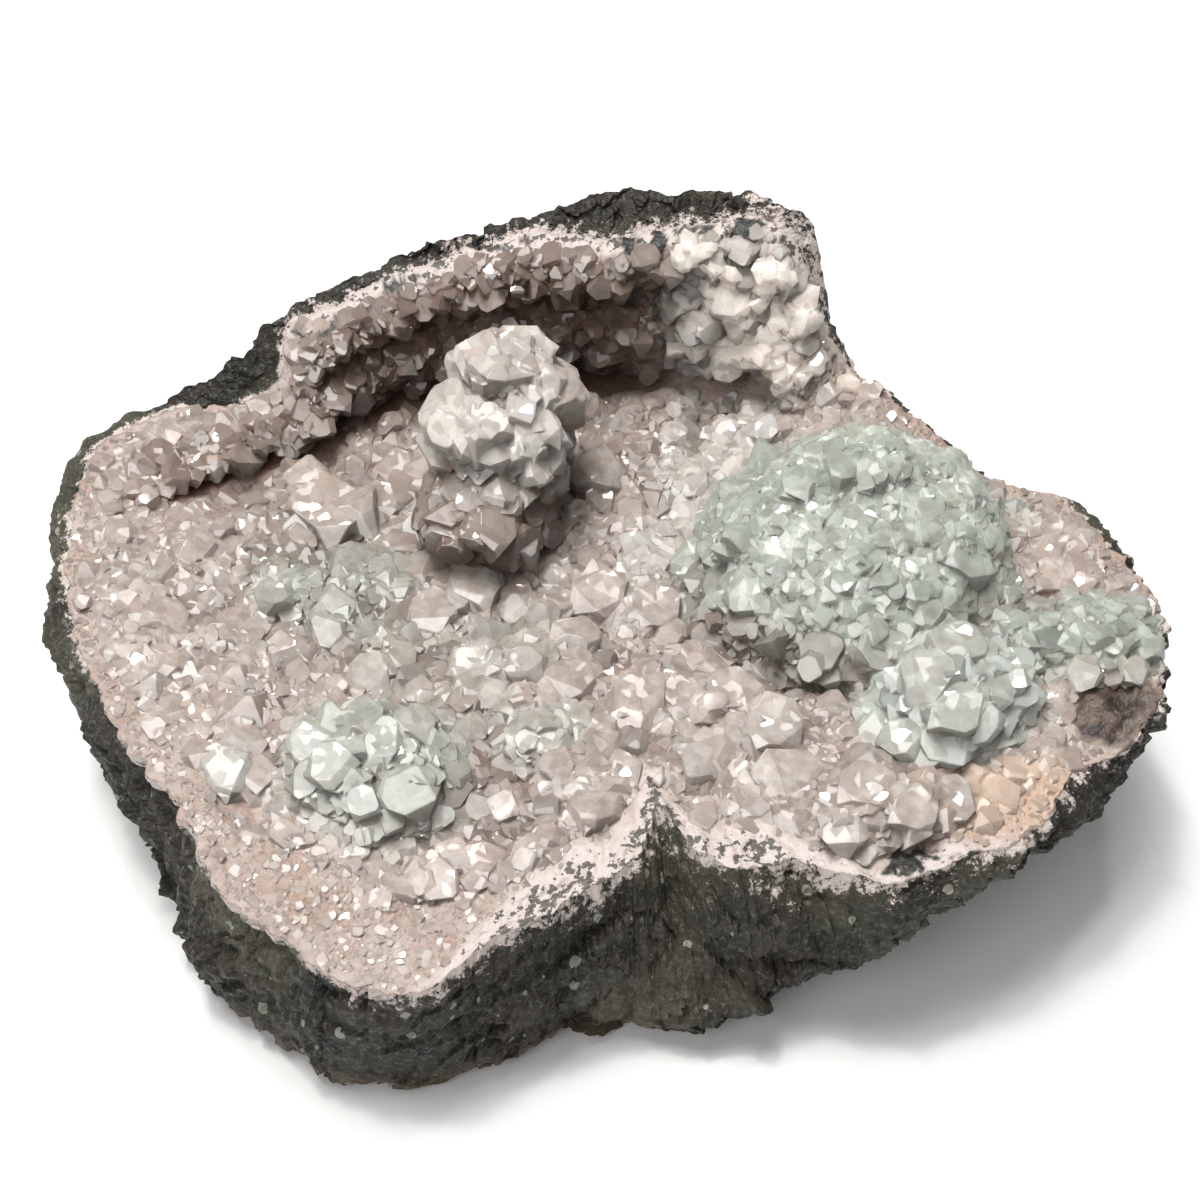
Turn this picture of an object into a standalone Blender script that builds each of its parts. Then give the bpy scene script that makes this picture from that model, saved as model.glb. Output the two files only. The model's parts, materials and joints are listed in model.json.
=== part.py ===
"""Apophyllite geode: half of a basalt cavity, broken open, with one crust of crystals in its hollow.

Lengths in the tables are millimetres and angles are degrees, counted from +X toward +Y about
the middle of the hollow. The part stands on the flat of its base at z = 0, with the high back
wall toward +Y, and its origin is on that flat.
"""

import math
import random

import bpy
from mathutils import Matrix, Vector, noise
from mathutils.bvhtree import BVHTree
from mathutils.geometry import delaunay_2d_cdt

MM = 0.001
SEED = 7

STATIONS = 72
HOLLOW_CENTRE = Vector((0.0, -8.0))

# The broken rim, one row per turn of its outline: angle, radius and height of the line where
# crust meets basalt, then radius and height of the floor's edge inside it.
RIM = (
    (0, 126, 56, 104, 54), (5, 119.5, 57, 98, 55), (14, 114, 58, 92, 55), (20, 99, 58, 80, 55),
    (30, 98, 57, 79, 54), (44, 99, 58, 80, 54), (50, 97, 61, 78, 53), (54, 96.5, 70, 77, 52),
    (57, 97.5, 79, 77, 51), (60, 98, 91, 78, 50), (66, 98, 95, 78, 50), (72, 94, 94, 76, 50),
    (80, 89, 92, 74, 50), (90, 88.5, 89, 72, 50), (98, 92, 90, 73, 50), (109, 94, 86, 74, 50),
    (121, 98, 82, 79, 50), (129, 102, 78, 82, 50), (136, 108, 73, 84, 49), (141, 103.5, 62, 84, 48),
    (145, 110, 58, 88, 47.5), (151, 128.5, 56, 96, 47), (157, 132.5, 55, 102, 47.5),
    (161, 133, 54.5, 106, 49), (168, 128.5, 53.5, 106, 50), (180, 121, 51.5, 99, 49),
    (193, 111, 49, 90, 47), (201, 108, 48, 87, 46), (207, 103, 47, 82, 45.5), (214, 102.5, 46, 80, 45),
    (224, 105, 43.5, 80, 43), (237, 102.5, 40, 76, 41), (246, 100.5, 37.5, 74, 40),
    (250, 98, 38.5, 73, 40), (255, 83, 42, 66, 42), (266, 74, 45, 58, 44), (273, 68, 46, 54, 44),
    (278, 64, 47, 50, 45), (283, 52, 48, 45, 45), (287, 66, 47, 50, 45), (291, 72, 46.5, 53, 44.5),
    (302, 77, 46, 57, 44.5), (310, 93, 45, 68, 44.5), (318, 98, 46, 76, 45), (328, 109, 48, 86, 46.5),
    (334, 107.5, 50, 88, 48), (340, 117.5, 50.5, 95, 49), (346, 124, 52.5, 101, 51),
)
# The outside of the basalt: angle, how far the shoulder stands out from the rim and its height,
# how far the belly below stands out from the shoulder, and the radius of the flat it stands on.
OUTSIDE = (
    (0, 2.5, 49, -10, 64), (20, 4, 51, 5, 74), (30, 4.5, 51, 8, 76), (44, 4, 52, 7, 74), (50, 4.5, 56, 5, 68),
    (54, 5, 66, 7, 70), (60, 8, 94, 8, 72), (66, 6, 100, 8, 75), (74, 8, 99, 9, 78),
    (80, 8, 98, 9, 79), (88, 11, 98, 9, 82), (94, 8, 95, 9, 83), (99, 4, 91, 9, 83),
    (109, 4, 89, 9, 85), (121, 4, 83, 8, 86), (129, 4, 79, 7, 88), (136, 5, 74, 6, 90),
    (141, 12, 67, 3, 92), (145, 10, 62, 1, 93), (150, 4, 56, 0, 95), (157, 9, 51, -3, 98),
    (168, 8.5, 48, -4, 101), (180, 7.5, 44, -4, 102), (193, 7, 36, -3, 98), (201, 4, 30, -1, 97),
    (207, 8, 24, -2, 98), (214, 7, 15, -1, 100), (224, 4.5, 7, 0, 103), (237, 3.5, 4, 0, 101),
    (246, 3.5, 4, 0, 100), (250, 2, 4, 0, 96), (255, 10, 5, 0, 88), (266, 8, 7, -1, 77),
    (273, 11.5, 8, -1, 74), (278, 17, 9, -1, 74), (283, 31, 10, -1, 74), (287, 18, 11, -1, 72),
    (291, 13, 13, -2, 70), (302, 12.5, 21, -4, 65), (307, 7, 27, -6, 62), (311, 3, 33, -7, 60),
    (318, 3, 37, -8, 60), (328, 2.5, 40, -9, 61), (334, 7, 42, -10, 62), (340, 3.5, 46, -10, 62),
    (350, 2.5, 49, -10, 63),
)
# How much of a high wall and how much of an overhanging shelf the crust makes at each angle.
WALL_SHARE = ((48, 0), (58, 1), (134, 1), (143, 0))
SHELF_SHARE = ((134, 0), (143, 1), (158, 1), (166, 0))

# A section of the crust from the rim to the floor's edge: share of the way in and of the drop.
PLAIN = ((0, 0), (0.1, 0), (0.25, 0.15), (0.4, 0.35), (0.55, 0.55), (0.7, 0.75), (0.85, 0.9), (1, 1))
WALL = ((0, 0), (0.45, 0.03), (0.6, 0.2), (0.35, 0.33), (0.72, 0.52), (0.66, 0.8), (0.28, 0.93), (1, 1))
SHELF = ((0, 0), (0.24, 0.05), (0.53, 0.15), (0.76, 0.35), (0.8, 0.55), (0.56, 0.68), (0.35, 0.92), (1, 1))

BASIN_HEIGHT = 42.0
CRUST_THICKNESS = 5.5
EDGE_DEPTH = 3.0
GAP = 0.5
ROCK_UNDER_MOUND = 0.55
ROCK_MOUND_SPREAD = 0.72

# Mounds and pits of the crust: x, y, half width, half depth, height, how square its dome is.
MOUNDS = (
    (57, 8, 38, 35, 23, 3.0),      # the large pale green mound
    (77, -33, 19, 16, 13, 2.6),    # the second green cluster
    (107, -20, 22, 12, 6, 2.0),    # the green shelf out to the right rim
    (-63, 4, 17, 15, 4, 2.0),      # the green patch on the left
    (-48, -49, 19, 16, 9, 2.4),    # the green cluster at the front left
    (-28, 22, 14, 13, 12, 2.2),    # the foot of the pillar
    (-15, -39, 9, 8, 3, 2.0),
    (57, -60, 16, 12, 7, 2.4),     # the round crystals by the front right rim
    (32, -33, 12, 10, 4, 2.0),
    (0, 40, 22, 16, 3, 2.0),
    (-73, -58, 11, 9, -3.5, 2.0),    # two pits beside the front left cluster
    (-40, -68, 11, 8, -3, 2.0),
    (22, 8, 11, 14, -3, 2.0),
)

# Single crystals seen from a step away: x, y, height of the centre, half width, number of sides.
PILLAR = (
    (-28, 23, 53, 13.5, 7), (-24, 34, 66, 13.5, 7), (-22, 43, 76, 11, 7),
)
PILLAR_CRYSTALS = (
    (-22.5, 40, 85, 8, 5), (-13, 38, 78, 6, 5), (-32, 37, 77, 6.5, 5), (-20, 29, 74, 5.5, 5),
    (-30, 27, 66, 6, 5), (-15, 26, 64, 6, 5), (-34, 16, 58, 6.5, 5), (-20, 14, 54, 6, 5),
    (-26, 50, 80, 6, 5), (-29, 10, 49, 6, 5),
)
SINGLES = (
    (-66, 29, 53, 10, 8), (-71, 37, 50, 6, 6), (-80, -51, 50, 6, 8), (-37, 26, 47, 6, 6),
    (-29, 6, 49, 7, 6), (-39, -3, 49, 6.5, 6), (-29, -19, 47, 7, 6), (-52, -22, 46, 6, 6),
    (13, -1, 46, 6, 6), (32, -33, 50, 7, 5), (9, -28, 45, 7, 5), (57, -62, 54, 9, 7),
    (74, -60, 52, 7, 6), (44, -52, 49, 6, 5), (0, 40, 47, 7, 6), (-95, 12, 51, 6, 6),
)
SCATTER_SPACING = 14.5
SCATTER_HALF_WIDTH = (3.6, 6.4)
MOUND_SPACING = 10.5
WALL_STEP_DEGREES = 7.0


def turned(table, angle, column):
    """A column of a table at any angle, straight between its rows and round past 360."""
    angle %= 360.0
    rows = [(table[-1][0] - 360.0, *table[-1][1:]), *table, (table[0][0] + 360.0, *table[0][1:])]
    for low, high in zip(rows, rows[1:]):
        if low[0] <= angle <= high[0]:
            share = (angle - low[0]) / (high[0] - low[0])
            return low[column] + share * (high[column] - low[column])
    return rows[0][column]


def smooth(low, high, value):
    share = min(1.0, max(0.0, (value - low) / (high - low)))
    return share * share * (3.0 - 2.0 * share)


def section(angle):
    """The crust's section at an angle, mixed from the plain, wall and shelf sections."""
    wall = turned(WALL_SHARE, angle, 1) if 40 < angle < 150 else 0.0
    shelf = turned(SHELF_SHARE, angle, 1) if 130 < angle < 170 else 0.0
    plain = max(0.0, 1.0 - wall - shelf)
    return [
        tuple(plain * p[i] + wall * w[i] + shelf * s[i] for i in (0, 1))
        for p, w, s in zip(PLAIN, WALL, SHELF)
    ]


def polar(angle, radius):
    turn = math.radians(angle)
    return HOLLOW_CENTRE + Vector((math.cos(turn), math.sin(turn))) * radius


def rough(point, size, amount):
    """Fractal noise at a point, with lumps of about the size given."""
    return amount * noise.fractal(point / size, 1.0, 2.1, 3)


def mound_height(x, y, spread_share=1.0):
    """How far the mounds lift the floor, and the pits sink it."""
    lift = sink = 0.0
    for cx, cy, half_x, half_y, height, power in MOUNDS:
        away = math.hypot((x - cx) / half_x, (y - cy) / half_y) / spread_share
        if away < 1.0:
            here = height * (1.0 - away**power)
            lift, sink = max(lift, here), min(sink, here)
    return lift + sink


def base_height(x, y):
    """The floor without its mounds: the basin in the middle and the rise to its edge."""
    offset = Vector((x, y)) - HOLLOW_CENTRE
    angle = math.degrees(math.atan2(offset.y, offset.x)) % 360.0
    share = offset.length / turned(RIM, angle, 3)
    edge = turned(RIM, angle, 4)
    return BASIN_HEIGHT + (edge - BASIN_HEIGHT) * smooth(0.5, 1.0, share)


def floor_height(x, y):
    lumps = rough(Vector((x, y, 3.0)), 17.0, 1.6) + rough(Vector((x, y, 30.0)), 5.5, 2.4)
    return base_height(x, y) + mound_height(x, y) + lumps


def rock_floor_height(x, y):
    rise = max(0.0, mound_height(x, y, ROCK_MOUND_SPREAD)) * ROCK_UNDER_MOUND
    return base_height(x, y) - CRUST_THICKNESS + rise + min(0.0, mound_height(x, y))


def inward(ring):
    """The direction into the hollow at each point of a closed ring, square to the ring."""
    count = len(ring)
    out = []
    for i in range(count):
        along = ring[(i + 1) % count].xy - ring[i - 1].xy
        out.append(Vector((-along.y, along.x)).normalized())
    return out


class Skin:
    """Triangles gathered into one closed mesh."""

    def __init__(self):
        self.points = []
        self.faces = []

    def ring(self, points):
        first = len(self.points)
        self.points.extend(points)
        return list(range(first, len(self.points)))

    def band(self, lower, upper, turned_over=False):
        """A belt of triangles between two rings, facing away from the axis when upper is above."""
        count = len(lower)
        for i in range(count):
            j = (i + 1) % count
            for corners in ((lower[i], lower[j], upper[j]), (lower[i], upper[j], upper[i])):
                self.faces.append(corners[::-1] if turned_over else corners)

    def object(self, name, material):
        mesh = bpy.data.meshes.new(name)
        mesh.from_pydata([p * MM for p in self.points], [], self.faces)
        mesh.materials.append(material)
        mesh.validate()
        obj = bpy.data.objects.new(name, mesh)
        bpy.context.scene.collection.objects.link(obj)
        return obj


def floor_pattern(ring, spacing, seed):
    """Jittered points inside a ring, and the triangles over ring and points: (points, triangles)."""
    rng = random.Random(seed)
    outline = [p.xy for p in ring]
    points = list(outline)
    reach = max(abs(c) for p in outline for c in p)
    row = -reach
    shift = 0
    while row < reach:
        column = -reach + (spacing / 2 if shift % 2 else 0)
        while column < reach:
            p = Vector((column + rng.uniform(-0.28, 0.28) * spacing, row + rng.uniform(-0.28, 0.28) * spacing))
            offset = p - HOLLOW_CENTRE
            angle = math.degrees(math.atan2(offset.y, offset.x)) % 360.0
            if offset.length < turned(RIM, angle, 3) - 0.55 * spacing:
                points.append(p)
            column += spacing
        row += spacing * 0.87
        shift += 1
    count = len(outline)
    edges = [(i, (i + 1) % count) for i in range(count)]
    placed, _, faces, *_ = delaunay_2d_cdt(points, edges, [], 1, 1e-5)
    return placed, faces


def add_floor(skin, ring_ids, placed, faces, height, upward):
    """Fills a ring with the floor pattern at the heights given."""
    ids = list(ring_ids) + skin.ring([Vector((p.x, p.y, height(p.x, p.y))) for p in placed[len(ring_ids):]])
    for face in faces:
        corners = [ids[i] for i in face]
        a, b, c = (skin.points[i] for i in corners)
        turns_up = (b - a).xy.cross((c - a).xy) > 0
        skin.faces.append(tuple(corners if turns_up == upward else corners[::-1]))


def rim_ring():
    points = []
    for i in range(STATIONS):
        angle = 360.0 * i / STATIONS
        flat = polar(angle, turned(RIM, angle, 1))
        spot = Vector((flat.x, flat.y, turned(RIM, angle, 2)))
        flat = polar(angle, turned(RIM, angle, 1) + rough(spot, 9.0, 1.4))
        points.append(Vector((flat.x, flat.y, spot.z + rough(spot + Vector((40, 0, 0)), 12.0, 1.0))))
    return points


def basalt_outside(rim):
    """Rings of the rough outer face, from the flat it stands on up to the shoulder and the rim."""
    foot, skirt, belly, shoulder, low_face, high_face = ([] for _ in range(6))
    for i in range(STATIONS):
        angle = 360.0 * i / STATIONS
        out, high, bulge, flat = (turned(OUTSIDE, angle, c) for c in (1, 2, 3, 4))
        edge = (rim[i].xy - HOLLOW_CENTRE).length
        top = edge + out
        rings = (
            (skirt, flat + 0.45 * (top + bulge - flat), 0.2 * high),
            (belly, top + bulge, 0.55 * high),
            (shoulder, top, high),
        )
        for ring, radius, height in rings:
            spot = polar(angle, radius)
            spot = Vector((spot.x, spot.y, height))
            spot.xy = polar(angle, radius + rough(spot, 26.0, 3.0) + rough(spot, 8.0, 2.0))
            spot.z = max(0.4, height + rough(spot + Vector((0, 60, 0)), 20.0, 1.5))
            ring.append(spot)
        ground = polar(angle, flat)
        ground = polar(angle, flat + rough(Vector((ground.x, ground.y, 0)), 22.0, 2.5))
        foot.append(Vector((ground.x, ground.y, 0.0)))
        for ring, share in ((low_face, 0.36), (high_face, 0.72)):
            spot = shoulder[i].lerp(rim[i], share)
            away = (spot.xy - HOLLOW_CENTRE).normalized()
            spot.xy += away * (1.2 + rough(spot, 13.0, 3.4) * min(1.0, (rim[i] - shoulder[i]).length / 18.0))
            ring.append(spot)
    return foot, skirt, belly, shoulder, low_face, high_face


def hollow_rings(rim, square, clearance):
    """The step, the wall's foot and the floor's edge, on the basalt or, with clearance, the crust."""
    step, wall_foot, edge = [], [], []
    for i in range(STATIONS):
        angle = 360.0 * i / STATIONS
        low = turned(RIM, angle, 4)
        in_at = rim[i].xy + square[i] * (0.3 + clearance)
        step.append(Vector((*in_at, rim[i].z - EDGE_DEPTH - 0.4 + clearance)))
        toward = (HOLLOW_CENTRE - in_at).normalized()
        in_at = in_at + square[i] * 0.6 + toward * 0.9
        wall_foot.append(Vector((*in_at, min(low - 3.5, rim[i].z - 5.0) + clearance)))
        flat = polar(angle, turned(RIM, angle, 3))
        edge.append(Vector((flat.x, flat.y, rock_floor_height(*flat) + clearance)))
    return step, wall_foot, edge


def crust_rings(rim, square):
    """Rings of the crust's face, from the rim down to the floor's edge."""
    rings = [[] for _ in PLAIN]
    for i in range(STATIONS):
        angle = 360.0 * i / STATIONS
        inner = turned(RIM, angle, 3)
        start = rim[i].xy + square[i] * (0.3 + GAP)
        reach = (start - HOLLOW_CENTRE).length - inner
        drop = rim[i].z - turned(RIM, angle, 4)
        toward = (HOLLOW_CENTRE - start).normalized()
        high = min(1.0, drop / 12.0) if 48 < angle < 166 else 0.0
        for k, (way_in, way_down) in enumerate(section(angle)):
            flat = start + toward * reach * way_in
            spot = Vector((flat.x, flat.y, rim[i].z + 0.3 - drop * way_down))
            if 0 < k < len(PLAIN) - 1:
                spot.xy += toward * rough(spot, 7.0, 1.3)
                spot.z += rough(spot + Vector((0, 0, 50)), 9.0, 0.9)
                spot.z += mound_height(spot.x, spot.y) * smooth(0.0, 0.5, way_in) * (1.0 - high)
            if k == len(PLAIN) - 1:
                spot.z = floor_height(*polar(angle, inner))
            rings[k].append(spot)
    return rings


def crystal(name, sides, half_width, length, shoulder, tip, depth):
    """A crystal along +Z: a prism to its shoulder, then cut back to a flat tip."""
    points, faces = [], []
    for height, radius in ((-depth, half_width * 0.8), (length * shoulder, half_width), (length, half_width * tip)):
        for k in range(sides):
            turn = 2.0 * math.pi * k / sides
            points.append(Vector((math.cos(turn) * radius, math.sin(turn) * radius, height)) * MM)
    for level in (0, 1):
        for k in range(sides):
            a, b = level * sides + k, level * sides + (k + 1) % sides
            faces.append((a, b, b + sides, a + sides))
    faces.append(tuple(range(sides))[::-1])
    faces.append(tuple(range(2 * sides, 3 * sides)))
    mesh = bpy.data.meshes.new(name)
    mesh.from_pydata(points, [], faces)
    return mesh


def ball(name, radius, sides, rng):
    """A lump of crystals grown into one another, as an uneven faceted ball."""
    points, faces = [Vector((0, 0, -radius)) * MM], []
    levels = (-0.55, 0.1, 0.7)
    for level, height in enumerate(levels):
        across = math.sqrt(1.0 - height * height) * radius
        for k in range(sides):
            turn = 2.0 * math.pi * (k + 0.5 * level) / sides
            swell = rng.uniform(0.9, 1.08)
            points.append(Vector((math.cos(turn) * across * swell, math.sin(turn) * across * swell, height * radius)) * MM)
    points.append(Vector((0, 0, radius)) * MM)
    for k in range(sides):
        j = (k + 1) % sides
        faces.append((0, 1 + j, 1 + k))
        for level in range(len(levels) - 1):
            a, b = 1 + level * sides + k, 1 + level * sides + j
            faces.append((a, b, a + sides))
            faces.append((b, b + sides, a + sides))
        top = 1 + (len(levels) - 1) * sides
        faces.append((top + k, top + j, len(points) - 1))
    mesh = bpy.data.meshes.new(name)
    mesh.from_pydata(points, [], faces)
    return mesh


def place(collection, mesh, spot, axis, spin):
    obj = bpy.data.objects.new(mesh.name, mesh)
    turn = axis.normalized().to_track_quat("Z", "Y").to_matrix().to_4x4()
    obj.matrix_world = Matrix.Translation(spot * MM) @ turn @ Matrix.Rotation(spin, 4, "Z")
    obj.hide_render = True
    obj.display_type = "WIRE"
    collection.objects.link(obj)


def on_crust(bed, x, y):
    """The top of the crust at a spot and the way out of it, or None beside the crust."""
    hits = [bed.ray_cast(Vector((x + dx, y + dy, 200.0)), Vector((0, 0, -1)))
            for dx, dy in ((0, 0), (3, 0), (-3, 0), (0, 3), (0, -3))]
    if hits[0][0] is None:
        return None
    out = sum((hit[1] for hit in hits if hit[0] is not None), Vector())
    return hits[0][0], out.normalized()


def spread(spacing, keep, rng):
    """Seeded spots at least the spacing apart, where keep says so."""
    spots = []
    for _ in range(5000):
        p = Vector((rng.uniform(-125, 125), rng.uniform(-95, 85)))
        if keep(p) and all((p - q).length > spacing for q in spots):
            spots.append(p)
    return spots


def inside_floor(p, margin):
    offset = p - HOLLOW_CENTRE
    angle = math.degrees(math.atan2(offset.y, offset.x)) % 360.0
    return offset.length < turned(RIM, angle, 3) - margin


def grow_crystals(collection, rings, bed):
    """Every crystal big enough to show from a step away, each sunk a little into the crust."""
    rng = random.Random(SEED)
    for n, (x, y, z, radius, sides) in enumerate(PILLAR):
        lean = Vector((rng.uniform(-0.2, 0.2), rng.uniform(-0.2, 0.2), 1))
        place(collection, ball(f"pillar_ball_{n}", radius, sides, rng), Vector((x, y, z)), lean, rng.uniform(0, 6))
    core = [Vector(row[:3]) for row in PILLAR]
    for n, (x, y, z, half, sides) in enumerate(PILLAR_CRYSTALS):
        spot = Vector((x, y, z))
        near = min(core, key=lambda c: (c - spot).length)
        mesh = crystal(f"pillar_crystal_{n}", sides, half, half * 0.9, 0.45, 0.5, half * 0.7)
        place(collection, mesh, spot.lerp(near, 0.25), spot - near, rng.uniform(0, 6))
    for n, (x, y, z, half, sides) in enumerate(SINGLES):
        spot, up = on_crust(bed, x, y)
        up = up + Vector((rng.uniform(-0.3, 0.3), rng.uniform(-0.4, 0.1), 0))
        rise = max(half * 0.9, z + half * 0.6 - spot.z)
        mesh = crystal(f"single_{n}", sides, half, rise, 0.55, 0.55, 2.0)
        place(collection, mesh, spot, up, rng.uniform(0, 6))
    taken = [Vector(row[:2]) for row in SINGLES + PILLAR]

    def free(p):
        return all((p - q).length > 11.0 for q in taken)

    def on_mound(p):
        return inside_floor(p, -6.0) and mound_height(p.x, p.y) > 2.2 and free(p)

    def on_floor(p):
        return inside_floor(p, 4.0) and mound_height(p.x, p.y) <= 2.2 and free(p)

    groups = (("mound", MOUND_SPACING, on_mound, 0.95), ("floor", SCATTER_SPACING, on_floor, 1.0))
    for label, spacing, keep, scale in groups:
        for n, p in enumerate(spread(spacing, keep, rng)):
            half = rng.uniform(*SCATTER_HALF_WIDTH) * scale
            spot, up = on_crust(bed, p.x, p.y)
            up = up + Vector([rng.uniform(-0.35, 0.35) for _ in range(3)])
            mesh = crystal(f"{label}_{n}", 4, half, half * rng.uniform(0.8, 1.1), 0.5, 0.45, 2.0)
            place(collection, mesh, spot, up, rng.uniform(0, 6))
    angle, row = 57.0, 0
    while angle < 141.0:
        i = round(angle * STATIONS / 360.0) % STATIONS
        for k in (1, 4) if row % 2 else (2, 5):
            spot = rings[k][i]
            out = Vector((*(HOLLOW_CENTRE - spot.xy).normalized(), rng.uniform(-0.1, 0.5)))
            half = rng.uniform(3.4, 5.6) if k > 2 else rng.uniform(2.4, 3.4)
            mesh = crystal(f"wall_{row}_{k}", rng.choice((4, 5)), half, half * 0.9, 0.5, 0.5, 1.5)
            place(collection, mesh, spot, out, rng.uniform(0, 6))
        angle += WALL_STEP_DEGREES
        row += 1


def material(name, colour, roughness, transmission=0.0):
    """A Principled material with plain values."""
    mat = bpy.data.materials.new(name)
    mat.use_nodes = True
    shader = mat.node_tree.nodes["Principled BSDF"]
    shader.inputs["Base Color"].default_value = (*colour, 1.0)
    shader.inputs["Roughness"].default_value = roughness
    shader.inputs["Transmission Weight"].default_value = transmission
    mat.diffuse_color = (*colour, 1.0)
    return mat


def build_basalt(rim, square, pattern):
    """The rock: rough outside, a flat to stand on, and the hollow that the crust lines."""
    skin = Skin()
    rings = [skin.ring(r) for r in basalt_outside(rim)]
    rings.append(skin.ring(rim))
    rings.extend(skin.ring(r) for r in hollow_rings(rim, square, 0.0))
    for lower, upper in zip(rings, rings[1:]):
        skin.band(lower, upper)
    add_floor(skin, rings[-1], *pattern, rock_floor_height, True)
    centre = skin.ring([Vector((0.0, 0.0, 0.0))])[0]
    foot = rings[0]
    for i, here in enumerate(foot):
        skin.faces.append((centre, foot[(i + 1) % len(foot)], here))
    return skin.object("basalt_matrix", material("basalt", (0.045, 0.05, 0.045), 0.8))


def build_crust(rim, square, pattern):
    """The crust: pink lining, druse and green mounds, grown together as one solid."""
    skin = Skin()
    faces = crust_rings(rim, square)
    under = [skin.ring(r) for r in hollow_rings(rim, square, GAP)]
    top = [skin.ring(r) for r in faces]
    skin.band(under[0], top[0])
    for outer, inner in zip(top, top[1:]):
        skin.band(outer, inner)
    add_floor(skin, top[-1], *floor_pattern(faces[-1], 8.0, SEED), floor_height, True)
    for outer, inner in zip(under, under[1:]):
        skin.band(outer, inner, turned_over=True)
    add_floor(skin, under[-1], *pattern, lambda x, y: rock_floor_height(x, y) + GAP, False)
    crust = skin.object("crystal_crust", material("zeolite_crust", (0.75, 0.6, 0.54), 0.35, 0.1))
    crystals = bpy.data.collections.new("crystals_to_join")
    crystals.hide_render = True
    bpy.context.scene.collection.children.link(crystals)
    grow_crystals(crystals, faces, BVHTree.FromPolygons(skin.points, skin.faces))
    join = crust.modifiers.new("join crystals", "BOOLEAN")
    join.operation = "UNION"
    join.solver = "EXACT"
    join.operand_type = "COLLECTION"
    join.collection = crystals
    return crust


def main():
    for obj in list(bpy.data.objects):
        bpy.data.objects.remove(obj)
    rim = rim_ring()
    square = inward(rim)
    pattern = floor_pattern(hollow_rings(rim, square, 0.0)[-1], 14.0, SEED + 1)
    build_basalt(rim, square, pattern)
    build_crust(rim, square, pattern)


main()
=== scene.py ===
"""Apophyllite geode: the looks of the broken cavity, its crust and its crystals.

Lengths in the tables and in the dataclass fields are millimetres unless a name says otherwise,
and angles are degrees, counted from +X toward +Y about the middle of the hollow.
"""

import json
import logging
import math
import random
from dataclasses import dataclass, field
from enum import Enum
from typing import Dict, List, Optional, Sequence, Tuple, Union

import bmesh
import bpy
import numpy as np
from bpy.types import Collection, Material, Node, NodeSocket, NodeTree, Object
from mathutils import Matrix, Vector, noise
from mathutils.bvhtree import BVHTree

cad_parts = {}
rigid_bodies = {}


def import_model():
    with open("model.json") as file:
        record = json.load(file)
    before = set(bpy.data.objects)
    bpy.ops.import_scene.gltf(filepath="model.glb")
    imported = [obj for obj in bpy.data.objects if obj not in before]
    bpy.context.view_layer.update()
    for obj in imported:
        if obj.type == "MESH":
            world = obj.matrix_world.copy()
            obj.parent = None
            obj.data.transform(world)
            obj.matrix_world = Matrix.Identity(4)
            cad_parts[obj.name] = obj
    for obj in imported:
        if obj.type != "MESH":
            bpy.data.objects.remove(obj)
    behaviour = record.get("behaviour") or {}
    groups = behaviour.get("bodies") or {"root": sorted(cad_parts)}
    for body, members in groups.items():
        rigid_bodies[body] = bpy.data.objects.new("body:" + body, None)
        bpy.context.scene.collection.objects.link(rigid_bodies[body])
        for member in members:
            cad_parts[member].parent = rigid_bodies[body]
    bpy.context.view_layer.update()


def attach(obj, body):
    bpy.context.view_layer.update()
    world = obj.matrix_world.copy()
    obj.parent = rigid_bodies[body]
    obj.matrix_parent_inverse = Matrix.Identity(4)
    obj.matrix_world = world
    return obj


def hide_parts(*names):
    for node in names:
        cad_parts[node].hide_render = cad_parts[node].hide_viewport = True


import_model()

MM = 0.001
FULL_TURN = 360.0
CENTRE = np.array((0.0, -8.0))
MATH = "ShaderNodeMath"
VECTOR = "ShaderNodeVectorMath"
RANDOM = "FunctionNodeRandomValue"

Array = np.ndarray
Row = Tuple[float, ...]
Table = Tuple[Row, ...]
Given = Union[Node, NodeSocket, float]
Colour = Union[NodeSocket, str]


def linear(code: str) -> Tuple[float, float, float, float]:
    """Turns an sRGB hex colour into a linear one.

    Args:
        code: six hex digits, with or without a leading hash.

    Returns:
        Red, green, blue and alpha, linear, from 0 to 1.
    """
    code = code.lstrip("#")
    parts = [int(code[i:i + 2], 16) / 255.0 for i in (0, 2, 4)]
    red, green, blue = (p / 12.92 if p <= 0.04045 else ((p + 0.055) / 1.055) ** 2.4 for p in parts)
    return red, green, blue, 1.0


def plug(tree: NodeTree, node: Node, links: Dict) -> None:
    """Links or sets inputs of a node.

    Args:
        tree: the node tree that the node is in.
        node: the node.
        links: input name or number to a node, of which the first output is taken, or to an output
            socket or a plain value.
    """
    for key, value in links.items():
        socket = node.inputs[key]
        if isinstance(value, Node):
            value = value.outputs[0]
        if isinstance(value, NodeSocket):
            tree.links.new(value, socket)
        else:
            socket.default_value = value


def add(tree: NodeTree, kind: str, links: Optional[Dict] = None, **settings) -> Node:
    """Adds a node with its settings, plain values and links.

    Args:
        tree: the node tree that gets the node.
        kind: the node's type name.
        links: what its inputs take, as in plug.
        **settings: attributes of the node itself.

    Returns:
        The new node.
    """
    node = tree.nodes.new(kind)
    for key, value in settings.items():
        setattr(node, key, value)
    plug(tree, node, links or {})
    return node


def rough(points: Array, size: float, amount: float, octaves: int = 3, shift: float = 0.0) -> Array:
    """Fractal noise at many points.

    Args:
        points: positions in millimetres, one row each.
        size: the width of the largest lumps.
        amount: how far the noise reaches, roughly, either way.
        octaves: how many sizes of lump are added.
        shift: moves the pattern, so that two uses of one size differ.

    Returns:
        One value for each point.
    """
    scaled = points / size + shift
    return amount * np.array([noise.fractal(p, 1.0, 2.1, octaves) for p in scaled])


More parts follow.
